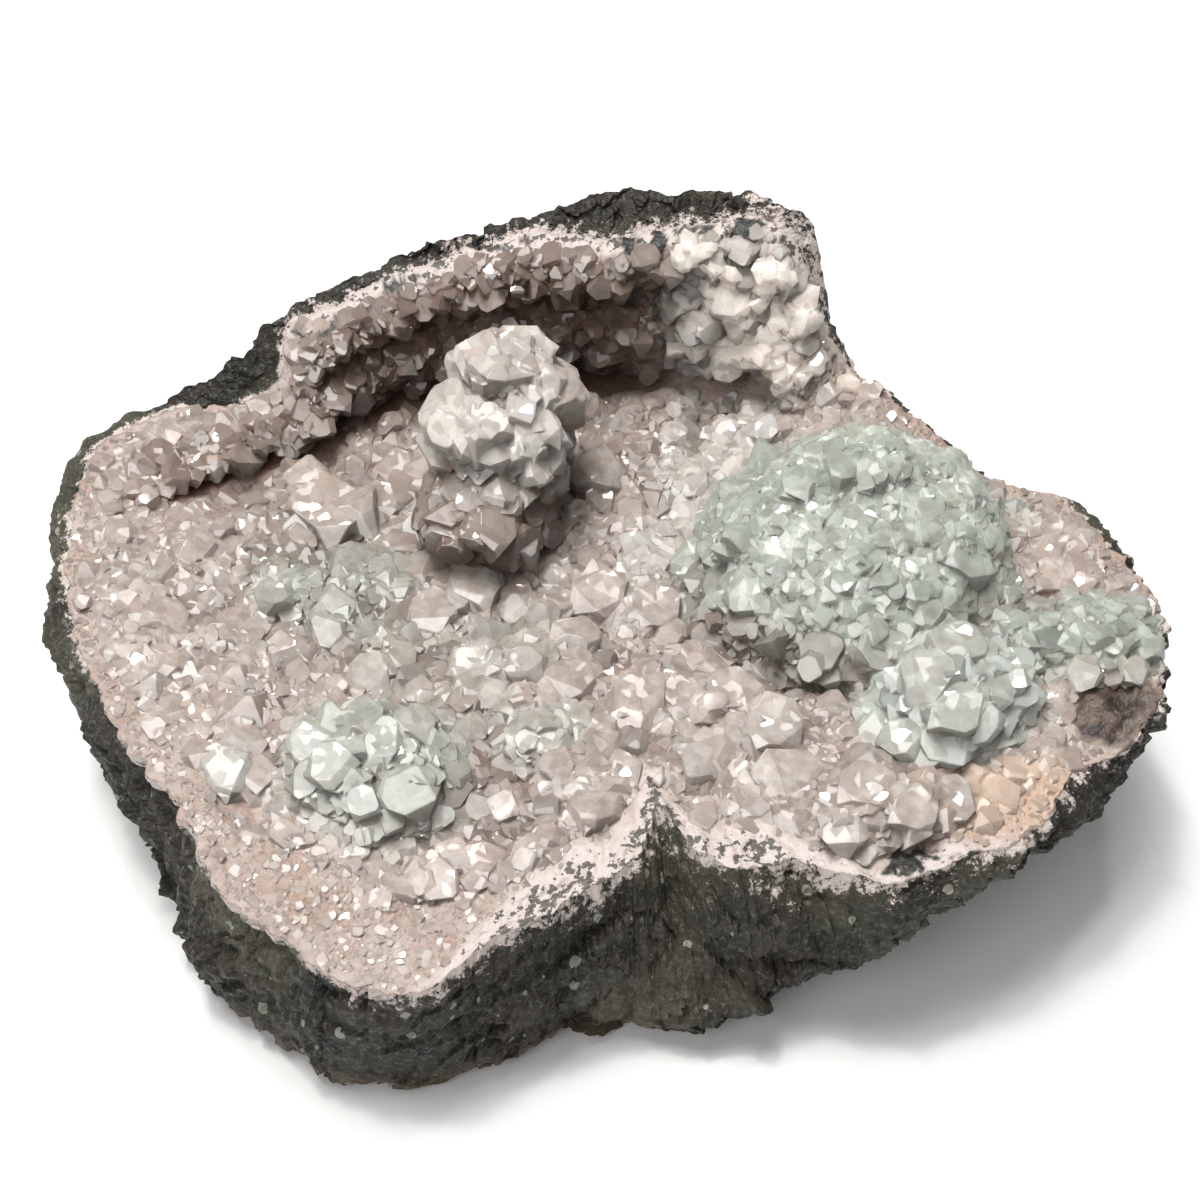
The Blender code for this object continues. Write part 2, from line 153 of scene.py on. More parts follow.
def smooth(low: float, high: float, value: Array) -> Array:
    """A soft step from 0 at low to 1 at high."""
    share = np.clip((np.asarray(value, float) - low) / (high - low), 0.0, 1.0)
    return share * share * (3.0 - 2.0 * share)


def facets(points: Array, size: float, amount: float, shift: float = 0.0) -> Array:
    """Steps and slanted faces as brittle rock breaks: each random cell has a slope of its own.

    Args:
        points: positions in millimetres, one row each.
        size: the width of the faces.
        amount: how far they reach, roughly, either way.
        shift: moves the pattern, so that two uses of one size differ.

    Returns:
        One value for each point.
    """
    out = np.empty(len(points))
    for n, spot in enumerate(points / size + shift):
        middle = noise.voronoi(spot)[1][0]
        slope = noise.cell_vector(middle * 13.7) - Vector((0.5, 0.5, 0.5))
        out[n] = 2.0 * slope.dot(Vector(spot) - middle) + slope.x
    return amount * out


def graph(value: Array, corners: Table) -> Array:
    """Reads a line graph, given by its corners, at many values."""
    return np.interp(value, *zip(*corners))


def outward(ring: Array) -> Array:
    """The level direction of each point away from the middle of the hollow."""
    away = ring[:, :2] - CENTRE
    return away / np.linalg.norm(away, axis=1, keepdims=True)


def set_in(rim: Array, way_in: float, height: Array) -> Array:
    """A ring set in from the rim, at the heights given."""
    ring = rim.copy()
    ring[:, :2] -= outward(rim) * way_in
    ring[:, 2] = height
    return ring


def make_object(name: str, points: Array, faces: Sequence, smooth_shading: bool) -> Object:
    """Makes a mesh object at the origin from points in millimetres.

    Args:
        name: the piece's name.
        points: positions in millimetres.
        faces: corners of each face.
        smooth_shading: whether its faces are shaded smooth.

    Returns:
        The object, linked to the scene.
    """
    mesh = bpy.data.meshes.new(name)
    mesh.from_pydata((np.asarray(points) * MM).tolist(), [], [tuple(f) for f in faces])
    mesh.polygons.foreach_set("use_smooth", [smooth_shading] * len(mesh.polygons))
    mesh.update()
    obj = bpy.data.objects.new(name, mesh)
    bpy.context.scene.collection.objects.link(obj)
    return obj


def set_attribute(obj: Object, name: str, values: Array) -> None:
    """Stores one number for each point of an object's mesh.

    Args:
        obj: the mesh object.
        name: the attribute's name, as materials and node trees read it.
        values: one number for each point.
    """
    layer = obj.data.attributes.new(name, "FLOAT", "POINT")
    layer.data.foreach_set("value", np.asarray(values, np.float32))


def ramp(tree: NodeTree, value: Given, low: float, high: float, start: float = 0.0,
         end: float = 1.0) -> Node:
    """Adds a node that turns one range into another, held at both ends.

    Args:
        tree: the node tree that gets the node.
        value: what it reads.
        low: the value that gives start.
        high: the value that gives end.
        start: the first result.
        end: the last result.

    Returns:
        The node, which gives the result first.
    """
    return add(tree, "ShaderNodeMapRange", {0: value, 1: low, 2: high, 3: start, 4: end})


def layers(tree: NodeTree, base: Colour, *coats: Tuple[Given, Colour]) -> NodeSocket:
    """Lays colours over one another, each given as a hex code or a socket.

    Args:
        tree: the node tree that gets the nodes.
        base: the lowest colour.
        *coats: for each further colour, how much of it shows, and the colour.

    Returns:
        The mixed colour's socket.
    """
    for share, coat in coats:
        ends = [linear(c) if isinstance(c, str) else c for c in (base, coat)]
        base = add(tree, "ShaderNodeMix", {0: share, 6: ends[0], 7: ends[1]}, data_type="RGBA").outputs[2]
    return base


def start_material(name: str) -> Tuple:
    """Makes a material with nodes.

    Args:
        name: the material's name.

    Returns:
        The material, its node tree, its shader and the object's coordinates, in metres.
    """
    mat = bpy.data.materials.new(name)
    mat.use_nodes = True
    tree = mat.node_tree
    place = add(tree, "ShaderNodeTexCoord").outputs["Object"]
    return mat, tree, tree.nodes["Principled BSDF"], place


def noises(tree: NodeTree, place: NodeSocket, *sizes: Row) -> List[Node]:
    """Adds noise of several sizes.

    Args:
        tree: the node tree that gets it.
        place: the coordinates that it reads.
        *sizes: for each, its scale per metre, its detail and its roughness.

    Returns:
        The noise nodes, which give their factor first.
    """
    return [add(tree, "ShaderNodeTexNoise", {
        "Vector": place, "Scale": scale, "Detail": detail, "Roughness": mix}) for scale, detail, mix in sizes]


def zones(tree: NodeTree, *names: str) -> List[NodeSocket]:
    """Adds what the mesh stores under each name, read as a number."""
    return [add(tree, "ShaderNodeAttribute", attribute_name=name).outputs["Fac"] for name in names]


@dataclass
class Outline:
    """A table of values round the hollow, read at any angle."""

    rows: Table
    soften: float = 1.2

    def at(self, angle: Array, column: int) -> Array:
        """Reads a column of the table.

        Args:
            angle: degrees, one or many.
            column: which column of the rows.

        Returns:
            The softened values at those angles.
        """
        turns = np.array([r[0] for r in self.rows], float)
        values = np.array([r[column] for r in self.rows], float)
        steps = np.linspace(-self.soften, self.soften, 5)
        read = [np.interp(np.asarray(angle, float) + s, turns, values, period=FULL_TURN) for s in steps]
        return np.mean(read, axis=0)


@dataclass
class HollowForm:
    """The measured shape that the rock, the crust and the crystals share."""

    # Angle, radius and height of the line where crust meets basalt, radius and height of the
    # floor's edge inside it.
    rim: Outline = field(default_factory=lambda: Outline((
        (0, 126, 56, 104, 54), (5, 119.5, 57, 98, 55), (14, 114, 58, 92, 55), (20, 99, 58, 80, 55),
        (30, 98, 57, 79, 54), (44, 99, 58, 80, 54), (50, 97, 61, 78, 53), (54, 96.5, 70, 77, 52),
        (57, 97.5, 79, 77, 51), (60, 98, 91, 78, 50), (66, 98, 95, 78, 50), (72, 94, 94, 76, 50),
        (80, 89, 92, 74, 50), (90, 88.5, 89, 72, 50), (98, 92, 90, 73, 50), (109, 94, 86, 74, 50),
        (121, 98, 82, 79, 50), (129, 102, 78, 82, 50), (136, 108, 73, 84, 49), (141, 103.5, 62, 84, 48),
        (145, 110, 58, 88, 47.5), (151, 128.5, 56, 96, 47), (157, 132.5, 55, 102, 47.5),
        (161, 133, 54.5, 106, 49), (168, 128.5, 53.5, 106, 50), (180, 121, 51.5, 99, 49),
        (193, 111, 49, 90, 47), (201, 108, 48, 87, 46), (207, 103, 47, 82, 45.5),
        (214, 102.5, 46, 80, 45), (224, 105, 43.5, 80, 43), (237, 102.5, 40, 76, 41),
        (246, 100.5, 37.5, 74, 40), (250, 98, 38.5, 73, 40), (255, 83, 42, 66, 42),
        (266, 74, 45, 58, 44), (273, 68, 46, 54, 44), (278, 64, 47, 50, 45), (283, 52, 48, 45, 45),
        (287, 66, 47, 50, 45), (291, 72, 46.5, 53, 44.5), (302, 77, 46, 57, 44.5),
        (310, 93, 45, 68, 44.5), (318, 98, 46, 76, 45), (328, 109, 48, 86, 46.5),
        (334, 107.5, 50, 88, 48), (340, 117.5, 50.5, 95, 49), (346, 124, 52.5, 101, 51),
    )))
    # Angle, shoulder out from the rim, its height, belly out from the shoulder, radius of the flat.
    outside: Outline = field(default_factory=lambda: Outline((
        (0, 2.5, 49, -10, 64), (20, 4, 51, 5, 74), (30, 4.5, 51, 8, 76), (44, 4, 52, 7, 74),
        (50, 4.5, 56, 5, 68), (54, 5, 66, 7, 70), (60, 8, 94, 8, 72), (66, 6, 100, 8, 75), (74, 8, 99, 9, 78),
        (80, 8, 98, 9, 79), (88, 11, 98, 9, 82), (94, 8, 95, 9, 83), (99, 4, 91, 9, 83),
        (109, 4, 89, 9, 85), (121, 4, 83, 8, 86), (129, 4, 79, 7, 88), (136, 5, 74, 6, 90),
        (141, 12, 67, 3, 92), (145, 10, 62, 1, 93), (150, 4, 56, 0, 95), (157, 9, 51, -3, 98),
        (168, 8.5, 48, -4, 101), (180, 7.5, 44, -4, 102), (193, 7, 36, -3, 98), (201, 4, 30, -1, 97),
        (207, 8, 24, -2, 98), (214, 7, 15, -1, 100), (224, 4.5, 7, 0, 103), (237, 3.5, 4, 0, 101),
        (246, 3.5, 4, 0, 100), (250, 2, 4, 0, 96), (255, 10, 5, 0, 88), (266, 8, 7, -1, 77),
        (273, 11.5, 8, -1, 74), (278, 17, 9, -1, 74), (283, 31, 10, -1, 74), (287, 18, 11, -1, 72),
        (291, 13, 13, -2, 70), (302, 12.5, 21, -4, 65), (307, 7, 27, -6, 62), (311, 3, 33, -7, 60),
        (318, 3, 37, -8, 60), (328, 2.5, 40, -9, 61), (334, 7, 42, -10, 62), (340, 3.5, 46, -10, 62),
        (350, 2.5, 49, -10, 63),
    )))
    wall_share: Outline = field(default_factory=lambda: Outline(
        ((0, 0), (48, 0), (58, 1), (134, 1), (143, 0), (359, 0))))
    shelf_share: Outline = field(default_factory=lambda: Outline(
        ((0, 0), (134, 0), (143, 1), (158, 1), (166, 0), (359, 0))))
    # Sections of the crust from the rim to the floor's edge: share of the way in and of the drop.
    plain: Table = (
        (0, 0), (0.1, 0), (0.25, 0.15), (0.4, 0.35), (0.55, 0.55), (0.7, 0.75), (0.85, 0.9), (1, 1))
    wall: Table = (
        (0, 0), (0.45, 0.03), (0.6, 0.2), (0.35, 0.33), (0.72, 0.52), (0.66, 0.8), (0.28, 0.93), (1, 1))
    bluff: Table = (
        (0, 0), (0.2, 0.02), (0.4, 0.12), (0.52, 0.32), (0.66, 0.52), (0.72, 0.74), (0.42, 0.9), (1, 1))
    shelf: Table = (
        (0, 0), (0.24, 0.05), (0.53, 0.15), (0.76, 0.35), (0.8, 0.55), (0.56, 0.68), (0.35, 0.92), (1, 1))
    # Mounds and pits: x, y, half width, half depth, height, squareness of the dome.
    mounds: Table = (
        (57, 8, 38, 35, 23, 3.0), (77, -33, 19, 16, 13, 2.6), (107, -20, 22, 12, 6, 2.0),
        (-63, 4, 17, 15, 4, 2.0), (-48, -49, 19, 16, 9, 2.4), (-28, 22, 14, 13, 12, 2.2),
        (-15, -39, 9, 8, 3, 2.0), (57, -60, 16, 12, 7, 2.4), (32, -33, 12, 10, 4, 2.0),
        (0, 40, 22, 16, 3, 2.0), (-73, -58, 11, 9, -3.5, 2.0), (-40, -68, 11, 8, -3, 2.0),
        (22, 8, 11, 14, -3, 2.0),
    )
    basin_height: float = 42.0
    crust_thickness: float = 5.5

    def angles(self, x: Array, y: Array) -> Array:
        """The angle of each spot about the middle of the hollow."""
        return np.degrees(np.arctan2(y - CENTRE[1], x - CENTRE[0])) % FULL_TURN

    def flat(self, angle: Array, radius: Array) -> Array:
        """The x and y of spots given by angle and radius."""
        turn = np.radians(angle)
        return np.stack((CENTRE[0] + radius * np.cos(turn), CENTRE[1] + radius * np.sin(turn)), -1)

    def ring(self, angle: Array, radius: Array, height: Array) -> Array:
        """Points at the angles, radii and heights given."""
        return np.concatenate((self.flat(angle, radius), height[:, None]), 1)

    def mound_height(self, x: Array, y: Array) -> Array:
        """How far mounds lift the floor and pits sink it."""
        lift, sink = np.zeros_like(x), np.zeros_like(x)
        for cx, cy, half_x, half_y, height, power in self.mounds:
            away = np.clip(np.hypot((x - cx) / half_x, (y - cy) / half_y), 0.0, 1.0)
            here = height * (1.0 - away**power)
            lift, sink = np.maximum(lift, here), np.minimum(sink, here)
        return lift + sink

    def floor_height(self, x: Array, y: Array) -> Array:
        """The height of the crust's floor, with its mounds and lumps."""
        angle = self.angles(x, y)
        share = np.hypot(x - CENTRE[0], y - CENTRE[1]) / self.rim.at(angle, 3)
        edge = self.rim.at(angle, 4)
        base = self.basin_height + (edge - self.basin_height) * smooth(0.5, 1.0, share)
        spots = np.stack((x, y, np.full_like(x, 3.0)), -1)
        lumps = rough(spots, 17.0, 2.2) + rough(spots, 6.5, 2.2, 2, 5.0)
        return base + self.mound_height(x, y) + lumps

    def section(self, angle: Array) -> Array:
        """The crust's section at each angle, mixed from the kinds of section.

        Args:
            angle: degrees, one or many.

        Returns:
            For each angle, rows of share of the way in and share of the drop.
        """
        wall = self.wall_share.at(angle, 1)[:, None, None]
        shelf = self.shelf_share.at(angle, 1)[:, None, None]
        bluff = wall * (1.0 - smooth(70.0, 84.0, angle))[:, None, None]
        plain = np.clip(1.0 - wall - shelf, 0.0, 1.0)
        kinds = ((plain, self.plain), (wall - bluff, self.wall), (bluff, self.bluff), (shelf, self.shelf))
        return sum(share * np.array(table) for share, table in kinds)

    def rim_line(self, angle: Array) -> Array:
        """The jagged line where crust and basalt meet, as points."""
        radius, height = self.rim.at(angle, 1), self.rim.at(angle, 2)
        spots = self.ring(angle, radius, height)
        jag = rough(spots, 9.0, 1.4) + rough(spots, 3.2, 1.3, 2, 7.0) + rough(spots, 1.6, 0.8, 2, 13.0)
        line = self.ring(angle, radius + jag, height)
        line[:, 2] += rough(spots, 12.0, 1.0, 3, 3.0) + rough(spots, 3.0, 0.5, 2, 11.0)
        return line


@dataclass
class Loft:
    """Closed rings of points, joined by belts of faces."""

    stations: int
    rings: List[Array] = field(default_factory=list)

    def add(self, ring: Array) -> None:
        """Adds the next ring."""
        self.rings.append(ring)

    def mesh(self, first_pole: Array, last_pole: Array) -> Tuple[Array, List]:
        """Joins the rings and closes both ends.

        Args:
            first_pole: the point that closes the first ring.
            last_pole: the point that closes the last ring.

        Returns:
            Points and faces.
        """
        count = self.stations
        points = np.concatenate([*self.rings, first_pole[None], last_pole[None]])
        faces: List[Tuple[int, ...]] = []
        across = np.arange(count)
        after = (across + 1) % count
        for level in range(len(self.rings) - 1):
            low, high = level * count, (level + 1) * count
            faces.extend(zip(low + across, low + after, high + after, high + across))
        first, last = len(points) - 2, len(points) - 1
        top = (len(self.rings) - 1) * count
        faces.extend((first, j, i) for i, j in zip(across, after))
        faces.extend((top + i, top + j, last) for i, j in zip(across, after))
        return points, faces


class Habit(Enum):
    """The shapes that the crystals grow in."""

    BLOCK = "block"          # equal sides, corners and edges cut back: the milky crystals
    POINT = "point"          # a prism that ends in slanted faces: clear tips among them
    PLATE = "plate"          # a low broad block, as crystals seen flat on


BLOCK, POINT, PLATE = Habit
# How tall each habit stands, in half widths.
CRYSTAL_HEIGHT = {BLOCK: 0.95, POINT: 1.3, PLATE: 0.6}
# Width of a large crystal's worn edge, as a share of its half width.
WORN_EDGE = 0.03


@dataclass(frozen=True)
class CrystalShape:
    """One crystal to copy: a block of half width 1 on its bed at z = 0, cut by planes."""

    habit: Habit
    seed: int
    plain: bool = False
    twinned: bool = False
    root: float = 0.45

    def cuts(self, rng: random.Random) -> List[Tuple[Vector, float]]:
        """The planes that cut the block: direction and distance from its middle."""

        def lean(x: float, y: float, z: float) -> Vector:
            """A direction, turned a little at random."""
            jitter = Vector([rng.uniform(-0.1, 0.1) for _ in range(3)])
            return (Vector((x, y, z)).normalized() + jitter).normalized()

        corners = [(sx, sy) for sx in (-1, 1) for sy in (-1, 1)]
        sides = [(1, 0), (-1, 0), (0, 1), (0, -1)]
        planes: List[Tuple[Vector, float]] = []
        if self.habit is POINT:
            planes += [(lean(x, y, 0.8), rng.uniform(0.72, 1.02)) for x, y in sides]
            upright = corners if not self.plain else corners[:2]
            planes += [(lean(x, y, 0.05), rng.uniform(0.95, 1.2)) for x, y in upright]
        else:
            low = 0.7 if self.habit is PLATE else 1.0
            planes += [(lean(x, y, 1.0), rng.uniform(1.04, 1.42) * low) for x, y in corners]
            upright = corners[::3] if self.plain else corners[:3]
            planes += [(lean(x, y, 0.05), rng.uniform(1.06, 1.28)) for x, y in upright]
            if not self.plain:
                planes += [(lean(x, y, 1.0), rng.uniform(1.05, 1.3) * low) for x, y in sides[:1]]
        return planes

    def block(self, seed: int, bevel: float) -> bmesh.types.BMesh:
        """Cuts one block.

        Args:
            seed: decides its proportions and its cuts.
            bevel: width of the worn edge, as a share of the half width.

        Returns:
            The closed block, to be freed by the caller.
        """
        rng = random.Random(seed)
        height = CRYSTAL_HEIGHT[self.habit] * rng.uniform(0.85, 1.15)
        half_x, half_y = rng.uniform(0.88, 1.0), rng.uniform(0.8, 1.0)
        bm = bmesh.new()
        bmesh.ops.create_cube(bm, size=2.0)
        for v in bm.verts:
            v.co = Vector((v.co.x * half_x, v.co.y * half_y, height if v.co.z > 0 else -self.root))
        for direction, away in self.cuts(rng):
            cut = bmesh.ops.bisect_plane(
                bm, geom=bm.verts[:] + bm.edges[:] + bm.faces[:], plane_co=direction * away,
                plane_no=direction, clear_outer=True)
            edges = [e for e in cut["geom_cut"] if isinstance(e, bmesh.types.BMEdge)]
            if edges:
                bmesh.ops.contextual_create(bm, geom=edges)
        if bevel > 0.0:
            bmesh.ops.bevel(
                bm, geom=bm.edges[:], offset=bevel, segments=1, affect="EDGES", clamp_overlap=True)
        bmesh.ops.recalc_face_normals(bm, faces=bm.faces[:])
        return bm

    def build(self, collection: Collection, bevel: float = 0.0) -> Object:
        """Cuts the crystal, with its twin if it has one, and puts it in a collection.

        Args:
            collection: where the crystal goes.
            bevel: width of the worn edge, as a share of the half width.

        Returns:
            The crystal, with its height above the bed in the attribute "tip".
        """
        bm = self.block(self.seed, bevel)
        mesh = bpy.data.meshes.new(f"{self.habit.value}_{self.seed}")
        if self.twinned:
            rng = random.Random(self.seed + 900)
            twin = self.block(self.seed + 500, bevel)
            turn = Matrix.Rotation(
                rng.uniform(0.3, 0.9), 4, Vector((rng.uniform(-1, 1), rng.uniform(-1, 1), 0.3)))
            side = rng.uniform(0.0, 6.28)
            move = Matrix.Translation((0.6 * math.cos(side), 0.6 * math.sin(side), rng.uniform(0.0, 0.35)))
            small = Matrix.Scale(rng.uniform(0.5, 0.72), 4)
            bmesh.ops.transform(twin, matrix=move @ turn @ small, verts=twin.verts[:])
            twin.to_mesh(mesh)
            twin.free()
            bm.from_mesh(mesh)
        bm.to_mesh(mesh)
        bm.free()
        obj = bpy.data.objects.new(mesh.name, mesh)
        collection.objects.link(obj)
        set_attribute(obj, "tip", np.clip([v.co.z for v in mesh.vertices], -0.4, 1.0))
        return obj


@dataclass(frozen=True)
class BrokenBasalt:
    """Fine-grained basalt, broken by hammer: nearly black, dull, with small white filled bubbles."""

    body: str = "#2E281D"
    dark: str = "#15110B"
    green: str = "#63624F"
    weathered: str = "#6E6150"
    powder: str = "#DCCFC8"
    bubble: str = "#A4A599"

    def bubbles(self, tree: NodeTree, place: NodeSocket) -> Node:
        """Filled bubbles up to 3 mm across, a few of them near that and most far smaller.

        Args:
            tree: the node tree that gets the nodes.
            place: the coordinates that they read.

        Returns:
            The node that gives how much of a bubble shows.
        """
        cells = add(tree, "ShaderNodeTexVoronoi", {"Vector": place, "Scale": 210.0, "Randomness": 1.0})
        pick = add(tree, "ShaderNodeSeparateColor", {0: cells.outputs["Color"]})
        half = add(tree, MATH, {0: pick, 1: 3.0}, operation="POWER")
        half = add(tree, MATH, {0: half, 1: 0.34}, operation="MULTIPLY")
        spot = add(tree, MATH, {0: cells.outputs["Distance"], 1: half}, operation="LESS_THAN")
        return add(tree, MATH, {0: spot, 1: 0.75}, operation="MULTIPLY")

    def material(self) -> Material:
        """Builds the material.

        Returns:
            The material, which reads "from_rim": millimetres from the rim, fewer where powder clings.
        """
        mat, tree, shader, place = start_material("broken_basalt")
        patches, grain, flecks, greenish = noises(
            tree, place, (45.0, 4.0, 0.7), (800.0, 2.0, 0.7), (280.0, 4.0, 0.8), (20.0, 3.0, 0.5))
        # The lowest few millimetres are weathered brown.
        height = add(tree, "ShaderNodeSeparateXYZ", {0: place}).outputs["Z"]
        foot = add(tree, MATH, {0: flecks, 1: -0.012, 2: height}, operation="MULTIPLY_ADD")
        # Powder of the crust clings to the rock for some millimetres below the rim.
        patchy = add(tree, MATH, {0: patches, 1: 0.5, 2: flecks}, operation="MULTIPLY_ADD")
        reach = ramp(tree, zones(tree, "from_rim")[0], 0.3, 12.0, 0.68, 0.98)
        cling = add(tree, MATH, {0: patchy, 1: reach}, operation="SUBTRACT")
        colour = layers(
            tree, self.dark, (ramp(tree, patches, 0.38, 0.62), self.body),
            (ramp(tree, greenish, 0.5, 0.66, 0.0, 0.65), self.green),
            (ramp(tree, grain, 0.54, 0.7, 0.0, 0.2), self.bubble),
            (self.bubbles(tree, place), self.bubble),
            (ramp(tree, foot, 0.0015, -0.004, 0.0, 0.7), self.weathered),
            (ramp(tree, cling, -0.01, 0.07, 0.0, 0.95), self.powder))
        bumps = add(tree, MATH, {0: grain, 1: 0.35, 2: flecks}, operation="MULTIPLY_ADD")
        bump = add(tree, "ShaderNodeBump", {"Height": bumps, "Strength": 0.8, "Distance": 0.0014})
        plug(tree, shader, {
            "Base Color": colour, "Normal": bump, "Roughness": ramp(tree, grain, 0.3, 0.7, 0.75, 0.38)})
        return mat


@dataclass(frozen=True)
class StilbiteCrust:
    """The fine-grained pink lining: chalky where it is broken, dull elsewhere."""

    pink: str = "#AF978A"
    pale: str = "#BBACA3"
    # brown is the crust's darker grain and also the colour of its painted shade.
    brown: str = "#6E5040"
    powder: str = "#DDD2CD"
    rock: str = "#33322E"
    tan: str = "#C49A77"
    green: str = "#A3A79B"
    # The cleaved patch's dark colours are partly its own and partly painted shadow that the second cluster
    # casts on it.
    cleaved: str = "#3A2E28"
    cleaved_pale: str = "#7A6758"

    def material(self) -> Material:
        """Builds the material.

        Returns:
            The material, which reads the zones that the crust's mesh carries.
        """
        mat, tree, shader, place = start_material("stilbite_crust")
        shade, tan, green, cleaved, mottle, rock = zones(
            tree, "shade", "tan", "green", "cleaved", "mottle", "rock")
        clouds, grain, flecks = noises(
            tree, place, (90.0, 3.0, 0.65), (650.0, 2.0, 0.65), (380.0, 3.0, 0.65))
        # The cleaved patch is streaked along its layers.
        along = add(tree, "ShaderNodeMapping", {
            "Vector": place, "Rotation": (0.0, 0.5, 0.6), "Scale": (1.0, 2.4, 1.0)})
        streaks = noises(tree, along.outputs[0], (90.0, 3.0, 0.6))[0]
        broken = layers(tree, self.cleaved, (ramp(tree, streaks, 0.4, 0.62), self.cleaved_pale))
        # The mottled band is white powder with specks of rock 0.5 to 2 mm across showing through.
        least = ramp(tree, mottle, 0.0, 1.0, 0.8, 0.5)
        shows = add(tree, MATH, {0: flecks, 1: least}, operation="SUBTRACT")
        # Painted shade turns the crust brown in the wall's recess, in hollows and at the mound's foot.
        colour = layers(
            tree, self.pink, (ramp(tree, clouds, 0.38, 0.62), self.pale),
            (ramp(tree, grain, 0.5, 0.3, 0.0, 0.35), self.brown),
            (shade, self.brown), (tan, self.tan), (green, self.green), (cleaved, broken),
            (ramp(tree, mottle, 0.0, 0.6, 0.0, 0.8), self.powder),
            (ramp(tree, shows, 0.0, 0.03, 0.0, 0.85), self.rock), (rock, self.rock))
        bumps = add(tree, MATH, {0: grain, 1: 0.6, 2: clouds}, operation="MULTIPLY_ADD")
        bump = add(tree, "ShaderNodeBump", {"Height": bumps, "Strength": 0.7, "Distance": 0.0014})
        plug(tree, shader, {"Base Color": colour, "Normal": bump, "Roughness": 0.5})
        return mat


@dataclass(frozen=True)
class MilkyCrystal:
    """Zeolite and apophyllite grown from solution: clouded inside, with flat glassy faces."""

    name: str
    clearness: float = 0.1
    scatter: float = 0.45
    glow: float = 2.6
    refraction: float = 1.54
    pink: str = "#AA998F"
    white: str = "#C6BFB8"
    green: str = "#BBC0B8"
    green_deep: str = "#9FA59A"
    # The dark brown of painted shade, for crystals in the wall's recess, in hollows and at the foot of the
    # mound and of the pillar.
    wall: str = "#5F4533"
    # The root colours are painted shade: each crystal darkens toward where it meets the bed and its
    # neighbours.
    root: str = "#937A69"
    green_root: str = "#A3A498"
    tan: str = "#CDB199"
    clear: str = "#978B81"

    def material(self) -> Material:
        """Builds the material.

        Returns:
            The material, which reads "tone", "tip" and the crust's zones from the mesh.
        """
        mat, tree, shader, place = start_material(self.name)
        tone, white, tan, green, shade, tip = zones(tree, "tone", "white", "tan", "green", "shade", "tip")
        veils = noises(tree, place, (280.0, 2.0, 0.65))[0]
        # Growth steps and inner planes, one to three millimetres across.
        steps = add(tree, "ShaderNodeTexVoronoi", {"Vector": place, "Scale": 400.0, "Randomness": 1.0})
        step = add(tree, "ShaderNodeSeparateColor", {0: steps.outputs["Color"]})
        pale = add(tree, MATH, {0: tone, 1: 0.5, 2: white}, operation="MULTIPLY_ADD")
        cloud = ramp(tree, veils, 0.36, 0.64, -0.35, 0.4)
        pale = add(tree, MATH, {0: pale, 1: cloud}, operation="ADD", use_clamp=True)
        pinks = layers(tree, self.pink, (pale, self.white), (tan, self.tan))
        greens = layers(tree, self.green_deep, (pale, self.green))
        # Painted shade: where the bed is marked shaded, the body darkens toward the dark brown.
        body = layers(tree, pinks, (green, greens), (ramp(tree, shade, 0.0, 1.0, 0.0, 0.9), self.wall))
        # Painted shade darkens each crystal toward its root.
        root_shade = layers(tree, self.root, (green, self.green_root))
        colour = layers(
            tree, root_shade, (ramp(tree, tip, -0.3, 0.3), body),
            (ramp(tree, step.outputs[1], 0.72, 0.9, 0.0, 0.3), self.clear))
        # Planes inside a crystal throw the light back or let it through, a patch at a time.
        colour = add(tree, "ShaderNodeHueSaturation", {
            "Value": ramp(tree, step, 0.0, 1.0, 0.86, 1.13), "Color": colour})
        # Light that enters one face leaves by the others, so the body shades as if it faced up,
        # and only the glassy skin shows each face sharply.
        face = add(tree, "ShaderNodeNewGeometry").outputs["Normal"]
        lifted = add(tree, VECTOR, {0: face, 1: (0.0, 0.0, self.glow)}, operation="ADD")
        # Each growth step leans a little its own way, so a face breaks into glints.
        own = add(tree, VECTOR, {0: steps.outputs["Color"], 1: (0.5, 0.5, 0.5)}, operation="SUBTRACT")
        own = add(tree, VECTOR, {0: own, 1: (0.4, 0.4, 0.4), 2: face}, operation="MULTIPLY_ADD")
        plug(tree, shader, {
            "Base Color": colour, "Roughness": 0.35, "IOR": self.refraction,
            "Normal": add(tree, VECTOR, {0: lifted}, operation="NORMALIZE"),
            "Transmission Weight": self.clearness, "Subsurface Weight": self.scatter,
            "Subsurface Radius": (1.0, 0.9, 0.85), "Subsurface Scale": 0.009,
            "Coat Weight": 0.8, "Coat Roughness": 0.05, "Coat IOR": self.refraction,
            "Coat Normal": add(tree, VECTOR, {0: own}, operation="NORMALIZE")})
        shader.subsurface_method = "BURLEY"
        return mat


